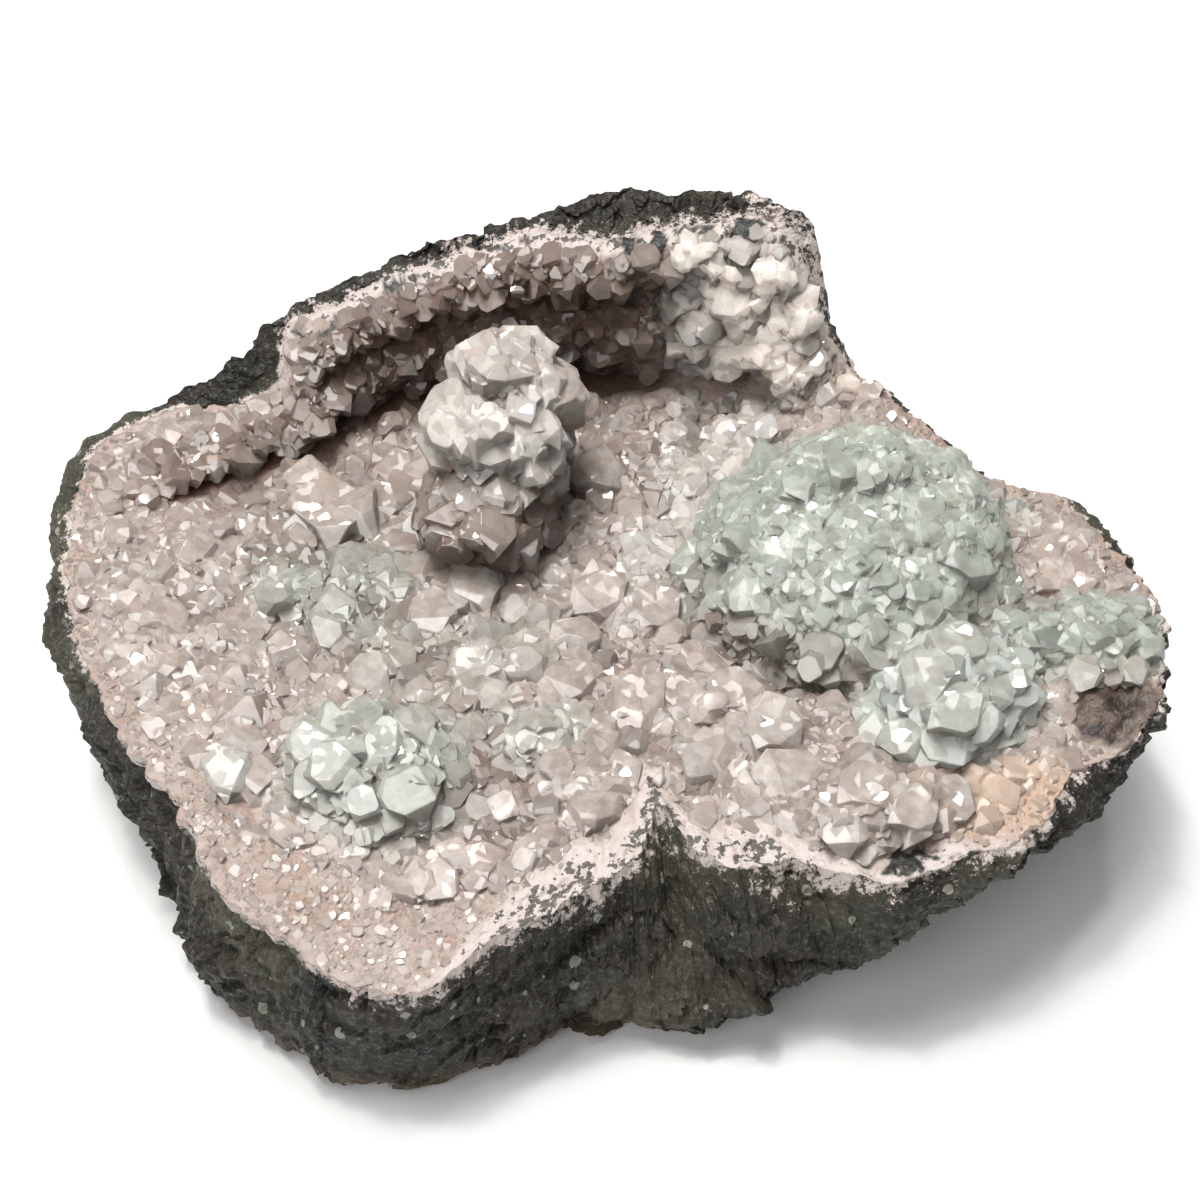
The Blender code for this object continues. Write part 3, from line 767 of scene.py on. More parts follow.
@dataclass
class BasaltRock:
    """The rock: rough broken outside, the flat that it stands on, and the hollow."""

    form: HollowForm
    stations: int = 900
    flank_rings: int = 54
    face_rings: int = 40
    # How far the rock reaches each way; within the margin the relief is pressed flatter.
    reach: Table = ((-135.0, 128.8), (-103.0, 100.0), (0.0, 99.9))
    margin: float = 3.5
    # Angle and how fast the crust's powder gives out down the rock, slowest at the back right
    # corner and at the notch in front.
    cling: Table = (
        (0, 1.8), (40, 1.8), (52, 0.6), (66, 0.8), (75, 1.6), (120, 1.6), (140, 2.4), (205, 2.0),
        (245, 1.6), (262, 1.0), (284, 0.9), (300, 0.8), (320, 1.2), (360, 1.8))

    def relief(self, ring: Array, amount: float) -> Array:
        """Pushes a ring of the outside in and out as the break left it.

        Args:
            ring: its points.
            amount: how much of the relief it takes.

        Returns:
            The moved points.
        """
        push = rough(ring, 26.0, 3.0) + facets(ring, 17.0, 2.2) + facets(ring, 6.0, 1.2, 3.0)
        push += rough(ring, 3.0, 0.35, 2, 15.0) + facets(ring, 2.6, 0.45, 9.0)
        crack = 1.0 - smooth(0.0, 0.09, np.abs(rough(ring * (1.0, 1.0, 1.6), 24.0, 1.0, 3, 41.0)))
        push -= 2.2 * crack * smooth(-0.1, 0.25, rough(ring, 30.0, 1.0, 2, 63.0))
        moved = ring.copy()
        moved[:, :2] += outward(ring) * (push * amount)[:, None]
        moved[:, 2] += rough(ring, 10.0, 0.9, 3, 21.0) * amount
        for axis, (low, high) in enumerate(self.reach):
            over = np.maximum(moved[:, axis] - (high - self.margin), 0.0)
            under = np.maximum(low + self.margin - moved[:, axis], 0.0)
            moved[:, axis] += 0.5 * under * (axis < 2) - 0.5 * over
        return moved

    def build(self) -> Object:
        """Lofts the rock from its foot over the rim and down into the hollow."""
        form, count = self.form, self.stations
        angle = np.arange(count) * FULL_TURN / count
        rim = form.rim_line(angle)
        edge = np.linalg.norm(rim[:, :2] - CENTRE, axis=1)
        out, high, bulge, ground = (form.outside.at(angle, c) for c in (1, 2, 3, 4))
        top = form.rim.at(angle, 1) * 0.35 + edge * 0.65 + out
        shoulder = form.ring(angle, top, high)
        controls = np.stack((
            form.ring(angle, ground, np.zeros(count)),
            form.ring(angle, ground + 0.45 * (top + bulge - ground), 0.2 * high),
            form.ring(angle, top + bulge, 0.55 * high),
            shoulder))
        loft = Loft(count)
        for t in np.linspace(0.0, 3.0, self.flank_rings, endpoint=False):
            k = min(int(t), 2)
            part = controls[k] + (controls[k + 1] - controls[k]) * (t - k)
            moved = self.relief(part, float(smooth(-0.2, 0.6, t)))
            moved[:, 2] = 0.0 if t == 0.0 else np.maximum(moved[:, 2], 0.3)
            loft.add(moved)
        length = np.linalg.norm(rim - shoulder, axis=1)
        for s in np.linspace(0.0, 1.0, self.face_rings):
            part = shoulder + (rim - shoulder) * s
            swell = math.sin(math.pi * s) * 1.2 * np.minimum(1.0, length / 18.0)
            part[:, :2] += outward(part) * swell[:, None]
            loft.add(self.relief(part, 1.0 - float(smooth(0.8, 1.0, s))) if s < 1.0 else rim)
        outer_rings = len(loft.rings)
        low = form.rim.at(angle, 4)
        for way_in, height in ((0.5, rim[:, 2] - 3.4), (1.8, rim[:, 2] - 6.0),
                               (2.2, np.minimum(low - 3.5, rim[:, 2] - 6.5))):
            loft.add(set_in(rim, way_in, height))
        loft.add(form.ring(angle, form.rim.at(angle, 3), low - form.crust_thickness))
        points, faces = loft.mesh(np.zeros(3), np.array((*CENTRE, form.basin_height - 8.0)))
        obj = make_object("basalt_rock", points, faces, False)
        below = np.zeros(len(points))
        cling = graph(angle, self.cling)
        for level in range(outer_rings):
            steps = slice(level * count, (level + 1) * count)
            below[steps] = np.linalg.norm(loft.rings[level] - rim, axis=1) * cling
        set_attribute(obj, "from_rim", below)
        obj.data.materials.append(BrokenBasalt().material())
        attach(obj, "root")
        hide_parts("basalt_matrix")
        return obj


@dataclass
class CrustBed:
    """The pink lining that the crystals grow from, from its broken rim to the basin."""

    form: HollowForm
    stations: int = 860
    section_rings: int = 36
    floor_rings: int = 62
    # Angle and how chalky and specked the crust's edge is there.
    chalky: Table = (
        (0, 0), (46, 0), (60, 1), (75, 0.8), (100, 1), (120, 1), (135, 0.7), (142, 0.2), (150, 0),
        (246, 0.1), (256, 1), (300, 1), (306, 0.6), (318, 0.7), (326, 0.2), (360, 0))
    # The cleaved patch: its middle and its half width and depth.
    cleft: Row = (112, -40, 13, 10)

    def build(self) -> Object:
        """Lofts the lining and marks its zones for the materials and the druse."""
        form, count = self.form, self.stations
        angle = np.arange(count) * FULL_TURN / count
        rim = form.rim_line(angle)
        toward = -outward(rim)
        reach = np.linalg.norm(rim[:, :2] - CENTRE, axis=1)
        inner = form.rim.at(angle, 3)
        edge_height = form.rim.at(angle, 4)
        drop = rim[:, 2] - edge_height
        high = form.wall_share.at(angle, 1) + form.shelf_share.at(angle, 1)
        section = form.section(angle)
        mottled = graph(angle, self.chalky)
        loft = Loft(count)
        gone: List[Array] = []
        level: List[float] = []

        def keep(ring: Array, far: Array, step: float) -> None:
            """Adds a ring, with its way in from the rim and its step of the section."""
            loft.add(ring)
            gone.append(far)
            level.append(step)

        none = np.zeros(count)
        keep(form.ring(angle, inner, edge_height - 4.9), none, -1.0)
        keep(set_in(rim, 2.4, np.minimum(edge_height - 3.0, rim[:, 2] - 4.5)), none, -1.0)
        keep(set_in(rim, 0.6, rim[:, 2] - 2.8), none, -1.0)
        last = section.shape[1] - 1
        path = none
        for t in np.linspace(0.0, last, self.section_rings):
            here = self.soft_section(section, t)
            ring = rim.copy()
            ring[:, :2] += toward * ((reach - inner) * here[:, 0])[:, None]
            ring[:, 2] += 0.3 - drop * here[:, 1]
            mounds = form.mound_height(ring[:, 0], ring[:, 1])
            ring[:, 2] += mounds * smooth(0.0, 0.5, here[:, 0]) * (1.0 - high)
            fade = float(smooth(0.0, 1.2, t)) * float(1.0 - smooth(6.2, 7.0, t))
            ring[:, :2] += toward * (fade * (rough(ring, 7.0, 1.3) + rough(ring, 3.0, 0.5, 2, 8.0)))[:, None]
            ring[:, 2] += fade * (rough(ring, 9.0, 0.9, 3, 5.0) + rough(ring, 2.4, 0.35, 2, 17.0))
            pits = smooth(0.15, 0.5, rough(ring, 2.2, 1.0, 2, 23.0))
            ring[:, 2] -= float(smooth(0.0, 0.5, t)) * pits * mottled * (1.0 - smooth(2.5, 4.5, t))
            if t == last:
                ring[:, 2] = form.floor_height(ring[:, 0], ring[:, 1])
            if t > 0.0:
                path = path + np.linalg.norm(ring - loft.rings[-1], axis=1)
            keep(ring, path, t)
        for s in np.linspace(1.0, 0.0, self.floor_rings, endpoint=False)[1:]:
            flat = form.flat(angle, inner * s)
            height = form.floor_height(flat[:, 0], flat[:, 1])
            keep(form.ring(angle, inner * s, height), path + inner * (1.0 - s), last + (1.0 - s))
        middle = form.floor_height(np.array([CENTRE[0]]), np.array([CENTRE[1]]))[0]
        points, faces = loft.mesh(
            np.array((*CENTRE, form.basin_height - 6.0)), np.array((*CENTRE, middle)))
        x, y, half_x, half_y = self.cleft
        steps = np.where(np.hypot((points[:, 0] - x) / half_x, (points[:, 1] - y) / half_y) < 1.0)[0]
        chips = points[steps]
        points[steps, 2] += facets(chips, 5.0, 1.6) + facets(chips * (1.0, 0.3, 1.0), 1.6, 0.5)
        obj = make_object("crust_bed", points, faces, True)
        levels = np.concatenate([np.repeat(level, count), [-1.0, last + 1.0]])
        marks = CrustZones(form, points, np.concatenate([*gone, [0.0, 90.0]]), levels)
        for name, values in marks.zones(graph(marks.angle, self.chalky)).items():
            set_attribute(obj, name, values)
        obj.data.materials.append(StilbiteCrust().material())
        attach(obj, "root")
        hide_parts("crystal_crust")
        return obj

    def soft_section(self, section: Array, t: float) -> Array:
        """Reads the section at a step between its corners, with the corners rounded."""
        last = section.shape[1] - 1
        reads = []
        for shift in (-0.3, -0.1, 0.1, 0.3):
            step = min(max(t + shift * min(1.0, t, last - t), 0.0), float(last))
            k = min(int(step), last - 1)
            reads.append(section[:, k] + (section[:, k + 1] - section[:, k]) * (step - k))
        return np.mean(reads, axis=0)


@dataclass
class CrustZones:
    """The zones of the crust: where its colour changes and where each size of crystal grows."""

    form: HollowForm
    points: Array
    # How far each point is in from the rim, and its step of the section: 7 and more is the floor,
    # -1 the hidden side.
    gone: Array
    level: Array

    # Patches as x, y, half width, half depth and softness of the edge.
    mound: Row = (57, 8, 39, 36, 0.12)
    cluster: Row = (76, -33, 19, 16)
    cleft: Row = (112, -40, 12, 9, 0.1)
    tan: Row = (88, -60, 19, 10, 0.35)
    # Further patches, each after its share: green ones, and those where big crystals grow.
    greens: Table = (
        (1.0, 107, -20, 22, 11), (0.75, -62, 4, 19, 15, 0.4), (0.8, -47, -49, 20, 17, 0.3),
        (0.5, -15, -38, 12, 8, 0.4), (0.35, -30, -15, 22, 12, 0.5))
    coarse: Table = (
        (1.0, 57, -60, 20, 12), (0.6, 30, -34, 20, 14), (0.55, -47, -49, 22, 18), (0.6, -20, -5, 85, 60, 0.3))
    # Openings torn in the crust, and the bare ground round those of the wall: lowest height, patch.
    torn: Table = (
        (74, 8, 77, 2.4, 8), (72, 14, 77, 2.0, 7), (76, 35, 79, 3.6, 4.0),
        (0, 79, -76, 8, 4), (0, 62, -73, 5, 3))
    margins: Table = ((68, 8, 77, 6, 12), (68, 14, 77, 6, 11), (68, 35, 79, 7, 7))
    # Step of the section and how deep it lies in the wall's recess, which sets how much painted shade it
    # takes.
    recess: Table = (
        (-1, 0), (1.0, 0), (1.9, 0.9), (3.0, 1), (3.8, 0.45), (5.0, 0.45), (5.6, 0.9), (6.6, 1),
        (7.05, 0.4), (8, 0))
    # Angle and how much painted shade the wall takes, how far the bare edge reaches in, and how far the
    # mottled band.
    dim: Table = ((0, 0), (52, 0.05), (60, 0.05), (76, 0.1), (84, 1), (360, 1))
    wide: Table = (
        (0, 3), (40, 4), (50, 3), (74, 3), (84, 7), (140, 4), (180, 5), (210, 9), (225, 20), (250, 24),
        (256, 16), (278, 18), (284, 14), (292, 17), (305, 9), (330, 7), (345, 3), (360, 3))
    band: Table = (
        (0, 4), (60, 9), (130, 8), (150, 4), (245, 3), (258, 16), (284, 19), (298, 17), (312, 8), (360, 4))
    # The back wall's crystals are whiter at its right end, below this angle, partly their own colour and
    # partly painted light, and brown above it with painted shade.
    lit_white_below: float = 76.0

    def __post_init__(self) -> None:
        """Works out what several zones need at each point."""
        form, points = self.form, self.points
        self.x, self.y, self.z = points.T
        self.angle = form.angles(self.x, self.y)
        self.wall = form.wall_share.at(self.angle, 1)
        self.shelf = form.shelf_share.at(self.angle, 1)
        self.wobble = rough(points, 8.0, 1.0, 3, 31.0)
        self.ragged = rough(points, 3.4, 1.1, 3, 71.0)

    def away(self, x: float, y: float, half_x: float, half_y: float) -> Array:
        """How far each point is from the middle of a patch, 1 at its edge."""
        return np.hypot((self.x - x) / half_x, (self.y - y) / half_y)

    def patch(self, x: float, y: float, half_x: float, half_y: float, soft: float = 0.25) -> Array:
        """A patch with a wavering soft edge: 1 inside it and 0 outside."""
        return 1.0 - smooth(1.0 - soft, 1.0 + soft, self.away(x, y, half_x, half_y) + 0.16 * self.wobble)

    def shade(self, mound: Array, cluster: Array) -> Array:
        """Painted shade: where the crust and its crystals are darkened toward brown, in the wall's recess, in
        the floor's hollows and at the front of the mound's foot.

        Args:
            mound: the patch of the mound.
            cluster: the patch of the second green cluster.

        Returns:
            The share of painted shade at each point.
        """
        level = self.level
        recess = 0.9 * graph(level, self.recess)
        above = recess + 0.65 * (level > 0.5) * (level < 6.0)
        shade = np.clip(above * self.wall * graph(self.angle, self.dim) + recess * self.shelf, 0.0, 1.0)
        # Painted shade in the floor's low spots, then on the front of the mound's foot.
        spots = np.stack((self.x, self.y, np.full_like(self.x, 3.0)), -1)
        hollows = smooth(0.15, -0.75, 0.6 * rough(spots, 17.0, 1.0) + rough(spots, 6.5, 1.0, 2, 5.0))
        shade = np.maximum(shade, 0.75 * hollows * (level >= 6.9) * (1.0 - mound) * (1.0 - cluster))
        flank = self.away(*self.mound[:4]) + 0.1 * self.wobble
        front = smooth(20.0, -20.0, self.y + 0.3 * self.x - 10.0)
        flank = smooth(0.72, 0.9, flank) * (1.0 - smooth(1.0, 1.12, flank)) * front
        return np.maximum(shade, 0.9 * flank * (1.0 - cluster))

    def openings(self) -> Array:
        """Where the crust is torn away and the rock shows."""
        torn = [(1.0 - smooth(0.9, 1.1, self.away(*patch) + self.ragged)) * (self.z > least)
                for least, *patch in self.torn]
        gaps = 0.9 * (rough(self.points, 7.0, 1.0, 3, 51.0) > 0.42)
        return np.maximum.reduce([*torn, gaps * (self.wall > 0.5) * (self.level > 0) * (self.level < 0.9)])

    def zones(self, chalky: Array) -> Dict[str, Array]:
        """Works out every zone.

        Args:
            chalky: how chalky the crust's edge is at each point's angle.

        Returns:
            The zones' values by name, as the materials and the druse read them.
        """
        level, wall, angle = self.level, self.wall, self.angle
        mound, cluster, cleft = self.patch(*self.mound), self.patch(*self.cluster), self.patch(*self.cleft)
        green = np.maximum.reduce([mound, cluster, *(share * self.patch(*at) for share, *at in self.greens)])
        bare = 1.0 - smooth(0.75, 1.15, (self.gone + 2.0 * self.wobble) / graph(angle, self.wide))
        mottle = chalky * (1.0 - smooth(0.3, 1.0, self.gone / graph(angle, self.band) + 0.25 * self.wobble))
        slots = self.openings()
        far = 1.0 - np.maximum.reduce([self.patch(*at) * (self.z > least) for least, *at in self.margins])
        crack = np.maximum(
            self.shelf * smooth(4.4, 4.8, level) * (1.0 - smooth(6.9, 7.1, level)),
            wall * smooth(5.2, 5.6, level) * (1.0 - smooth(6.7, 6.95, level)))
        ground = (level > 0.0) * (1.0 - bare) * (1.0 - cleft) * (1.0 - 0.7 * mottle) * (1.0 - crack)
        ground = ground * (1.0 - slots)
        plain_edge = 1.0 - smooth(0.0, 0.5, mottle)
        lit_white_wall = angle < self.lit_white_below
        big = np.maximum.reduce([
            cluster, (0.2 + 0.25 * lit_white_wall) * wall * (level < 6), 0.08 * mound,
            *(share * self.patch(*at) for share, *at in self.coarse)])
        return {
            # The shade zone is painted shade: brown in the wall's recess, in the hollows and at the mound's
            # front foot.
            "green": green, "shade": self.shade(mound, cluster), "tan": 0.7 * self.patch(*self.tan),
            "cleaved": cleft, "mottle": mottle, "rock": slots,
            # Painted light whitens the right end of the back wall; the cluster is whiter in its own colour.
            "white": np.maximum(0.8 * cluster, 0.75 * wall * lit_white_wall) - 0.6 * bare,
            "grow_big": ground * big * far,
            "grow_bluff": ground * far * wall * (1.0 - smooth(68.0, 82.0, angle)) * (level < 6),
            "grow_mound": ground * mound,
            "grow_mid": ground * (1.0 - 0.5 * cluster) * (1.0 - mound),
            "grow_fine": ground * (1.0 - 0.7 * mound),
            "grow_clear": ground * (1.0 - mound),
            "grow_rim": (level > 0.3) * bare * (1.0 - cleft) * plain_edge * (1.0 - slots)}


@dataclass
class DruseTree:
    """The node tree that grows crystals over a bed."""

    name: str = "grow_druse"
    # Points tried on each square metre, so many that spacing and zone alone decide.
    most: float = 4.0e6
    inputs: Tuple[Tuple[str, str], ...] = (
        ("Geometry", "Geometry"), ("Crystals", "Collection"), ("Zone", "String"), ("Spacing", "Float"),
        ("Smallest", "Float"), ("Largest", "Float"), ("Lean", "Float"), ("Lift", "Vector"),
        ("Sink", "Float"), ("Seed", "Int"), ("Finish", "Material"))

    def build(self) -> NodeTree:
        """Builds the tree, which ends in plain mesh with its material set."""
        tree = bpy.data.node_groups.new(self.name, "GeometryNodeTree")

        def chance(low: Row, high: Row, seed: int) -> Node:
            """A random vector for each crystal."""
            return add(tree, RANDOM, {0: low, 1: high, "Seed": seed}, data_type="FLOAT_VECTOR")

        for label, kind in self.inputs:
            tree.interface.new_socket(name=label, in_out="INPUT", socket_type=f"NodeSocket{kind}")
        tree.interface.new_socket(name="Geometry", in_out="OUTPUT", socket_type="NodeSocketGeometry")
        given = add(tree, "NodeGroupInput").outputs
        zone = add(tree, "GeometryNodeInputNamedAttribute", {"Name": given["Zone"]}, data_type="FLOAT")
        spots = add(tree, "GeometryNodeDistributePointsOnFaces", {
            "Mesh": given["Geometry"], "Distance Min": given["Spacing"], "Density Max": self.most,
            "Density Factor": zone, "Seed": given["Seed"]}, distribute_method="POISSON")
        # Which way each crystal stands: off the bed, leaned at random and lifted toward the light.
        sway = chance((-1.0, -1.0, -1.0), (1.0, 1.0, 1.0), 11)
        sway = add(tree, VECTOR, {0: sway, "Scale": given["Lean"]}, operation="SCALE")
        up = add(tree, VECTOR, {0: spots.outputs["Normal"], 1: sway}, operation="ADD")
        up = add(tree, VECTOR, {0: up, 1: given["Lift"]}, operation="ADD")
        stand = add(tree, "FunctionNodeAlignRotationToVector", {"Vector": up}, axis="Z")
        spin = add(tree, "FunctionNodeEulerToRotation", {0: chance((0.0, 0.0, 0.0), (0.0, 0.0, 6.2832), 12)})
        turn = add(tree, "FunctionNodeRotateRotation", {0: stand, 1: spin}, rotation_space="LOCAL")
        # How large it is, and how deep it sits in the bed.
        luck = add(tree, RANDOM, {"Seed": 13}, data_type="FLOAT").outputs[1]
        luck = add(tree, MATH, {0: luck, 1: 1.6}, operation="POWER")
        size = add(tree, "ShaderNodeMapRange", {0: luck, 3: given["Smallest"], 4: given["Largest"]})
        deep = add(tree, MATH, {0: size, 1: given["Sink"]}, operation="MULTIPLY")
        deep = add(tree, MATH, {0: deep, 1: -1.0}, operation="MULTIPLY")
        down = add(tree, VECTOR, {0: up}, operation="NORMALIZE")
        down = add(tree, VECTOR, {0: down, "Scale": deep}, operation="SCALE")
        sunk = add(tree, "GeometryNodeSetPosition", {"Geometry": spots, "Offset": down})
        shape = chance((0.8, 0.8, 0.65), (1.15, 1.0, 1.25), 16)
        size = add(tree, VECTOR, {0: shape, "Scale": size}, operation="SCALE")
        # Which shape it takes, and its tone.
        pick = add(tree, RANDOM, {"Min": 0, "Max": 99, "Seed": 14}, data_type="INT").outputs[2]
        store = add(tree, "GeometryNodeCollectionInfo", {
            "Collection": given["Crystals"], "Separate Children": True, "Reset Children": True})
        grown = add(tree, "GeometryNodeInstanceOnPoints", {
            "Points": sunk, "Instance": store, "Pick Instance": True, "Instance Index": pick,
            "Rotation": turn, "Scale": size})
        tone = add(tree, RANDOM, {"Seed": 15}, data_type="FLOAT").outputs[1]
        toned = add(tree, "GeometryNodeStoreNamedAttribute", {
            "Geometry": grown, "Name": "tone", "Value": tone}, data_type="FLOAT", domain="INSTANCE")
        real = add(tree, "GeometryNodeRealizeInstances", {0: toned})
        done = add(tree, "GeometryNodeSetMaterial", {"Geometry": real, "Material": given["Finish"]})
        add(tree, "NodeGroupOutput", {0: done})
        return tree


@dataclass
class Druse:
    """One size of crystal grown over a zone of a bed."""

    name: str
    zone: str
    spacing: float
    smallest: float
    largest: float
    lean: float
    sink: float
    seed: int
    lift: float = 0.5

    def build(self, bed: Object, tree: NodeTree, crystals: Collection,
              finish: Material) -> Object:
        """Grows the crystals and makes them one plain mesh.

        Args:
            bed: the lining that they grow from.
            tree: the node tree that grows them.
            crystals: the shapes to copy.
            finish: their material.

        Returns:
            The piece, riding and dressed.
        """
        host = bpy.data.objects.new(self.name, bed.data)
        bpy.context.scene.collection.objects.link(host)
        grow = host.modifiers.new("grow", "NODES")
        grow.node_group = tree
        values = {
            "Crystals": crystals, "Zone": self.zone, "Spacing": self.spacing * MM,
            "Smallest": self.smallest * MM, "Largest": self.largest * MM, "Lean": self.lean,
            "Lift": (0.0, 0.0, self.lift), "Sink": self.sink, "Seed": self.seed, "Finish": finish}
        for item in tree.interface.items_tree:
            if item.in_out == "INPUT" and item.name in values:
                grow[item.identifier] = values[item.name]
        graph_of_scene = bpy.context.evaluated_depsgraph_get()
        mesh = bpy.data.meshes.new_from_object(host.evaluated_get(graph_of_scene))
        host.modifiers.remove(grow)
        host.data = mesh
        mesh.name = self.name
        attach(host, "root")
        return host


@dataclass
class Pillar:
    """The column of milky crystals that stands in the back half of the hollow."""

    # x, y, z and radius of the three lumps that it is stacked from.
    lumps: Table = ((-28, 22, 52, 12.5), (-24, 33, 65, 13.5), (-21, 41, 74, 11.5))

    def build(self) -> Object:
        """Builds the lumps as one bed and marks it for the druse."""
        points: List[Array] = []
        faces: List[Tuple[int, ...]] = []
        grows: List[Array] = []
        for n, (x, y, z, radius) in enumerate(self.lumps):
            bm = bmesh.new()
            bmesh.ops.create_icosphere(bm, subdivisions=5, radius=1.0)
            unit = np.array([v.co for v in bm.verts])
            base = sum(len(p) for p in points)
            faces.extend(tuple(base + v.index for v in f.verts) for f in bm.faces)
            bm.free()
            here = np.array((x, y, z)) + unit * radius
            here += unit * (rough(here, 9.0, 1.6) + rough(here, 3.0, 0.4, 2, 3.0))[:, None]
            free = np.ones(len(here))
            for m, (ox, oy, oz, other) in enumerate(self.lumps):
                if m != n:
                    free *= np.linalg.norm(here - np.array((ox, oy, oz)), axis=1) > other - 1.5
            points.append(here)
            grows.append(free)
        every, grow = np.concatenate(points), np.concatenate(grows)
        obj = make_object("pillar_core", every, faces, True)
        # Painted shade browns the lower lumps and painted light whitens the crystals toward the top.
        set_attribute(obj, "shade", 1.0 - smooth(52.0, 70.0, every[:, 2]))
        set_attribute(obj, "white", smooth(50.0, 72.0, every[:, 2]))
        for name in ("grow_big", "grow_mid", "grow_fine"):
            set_attribute(obj, name, grow)
        obj.data.materials.append(StilbiteCrust().material())
        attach(obj, "root")
        return obj


@dataclass(frozen=True)
class Lamp:
    """A square soft light: its place and side in metres, its watts and its colour."""

    name: str
    place: Row
    side: float
    power: float
    colour: str = "#FFFFFF"
    aim: Row = (0.0, 0.0, 0.04)

    def build(self) -> None:
        """Hangs the light so that it faces the object."""
        lamp = bpy.data.lights.new(self.name, "AREA")
        lamp.size = self.side
        lamp.energy = self.power
        lamp.color = linear(self.colour)[:3]
        obj = bpy.data.objects.new(self.name, lamp)
        obj.location = self.place
        obj.rotation_euler = (Vector(self.aim) - Vector(self.place)).to_track_quat("-Z", "Y").to_euler()
        bpy.context.scene.collection.objects.link(obj)


@dataclass
class Studio:
    """The pale floor, the soft light and the camera at the photograph's angle, in metres."""

    lamps: Tuple[Lamp, ...] = (
        Lamp("key_light", (-0.42, 0.38, 2.05), 1.0, 29.5, "#FFFDFA"),
        Lamp("key_core", (-0.38, 0.38, 2.00), 0.2, 9.5, "#FFFDFA"),
        Lamp("fill_light", (-0.80, -1.05, 1.35), 1.0, 7.5),
        Lamp("left_lamp", (-0.30, 0.55, 1.40), 0.12, 2.0),
        Lamp("right_lamp", (0.25, 0.40, 1.45), 0.12, 2.0))
    pale: str = "#FAFAFA"
    room_strength: float = 0.25
    floor_half: float = 3.0
    target: Row = (0.0, 0.0, 0.045)
    distance: float = 0.39
    elevation: float = 47.0
    lens: float = 50.0

    def build(self) -> None:
        """Builds all of it."""
        self.floor()
        for lamp in self.lamps:
            lamp.build()
        self.room()
        self.camera()

    def floor(self) -> None:
        """Lays the plain pale table."""
        h = self.floor_half / MM
        corners = np.array(((-h, -h, 0), (h, -h, 0), (h, h, 0), (-h, h, 0.0)))
        obj = make_object("table_top", corners, [(0, 1, 2, 3)], False)
        mat = bpy.data.materials.new("matt_white_board")
        mat.use_nodes = True
        tree = mat.node_tree
        plug(tree, tree.nodes["Principled BSDF"], {"Base Color": linear(self.pale), "Roughness": 0.9})
        obj.data.materials.append(mat)

    def room(self) -> None:
        """Fills the room with faint light from every side."""
        world = bpy.data.worlds.new("soft_room")
        world.use_nodes = True
        plug(world.node_tree, world.node_tree.nodes["Background"], {
            "Color": linear(self.pale), "Strength": self.room_strength})
        bpy.context.scene.world = world
        bpy.context.scene.view_settings.view_transform = "Standard"

    def camera(self) -> None:
        """Sets the camera in front of the object and above it."""
        camera = bpy.data.cameras.new("camera")
        camera.lens = self.lens
        camera.sensor_width = 36.0
        camera.clip_start = 0.01
        rise = math.radians(self.elevation)
        back_off = Vector((0.0, -math.cos(rise), math.sin(rise))) * self.distance
        obj = bpy.data.objects.new("camera", camera)
        obj.location = Vector(self.target) + back_off
        obj.rotation_euler = (-back_off).to_track_quat("-Z", "Y").to_euler()
        bpy.context.scene.collection.objects.link(obj)
        bpy.context.scene.camera = obj


@dataclass(frozen=True)
class Named:
    """A crystal that stands out in the photograph: its place, half width, rise and looks."""

    x: float
    y: float
    half: float
    rise: float
    habit: Habit
    seed: int
    green: float = 0.0
    tone: float = 0.7
    height: Optional[float] = None


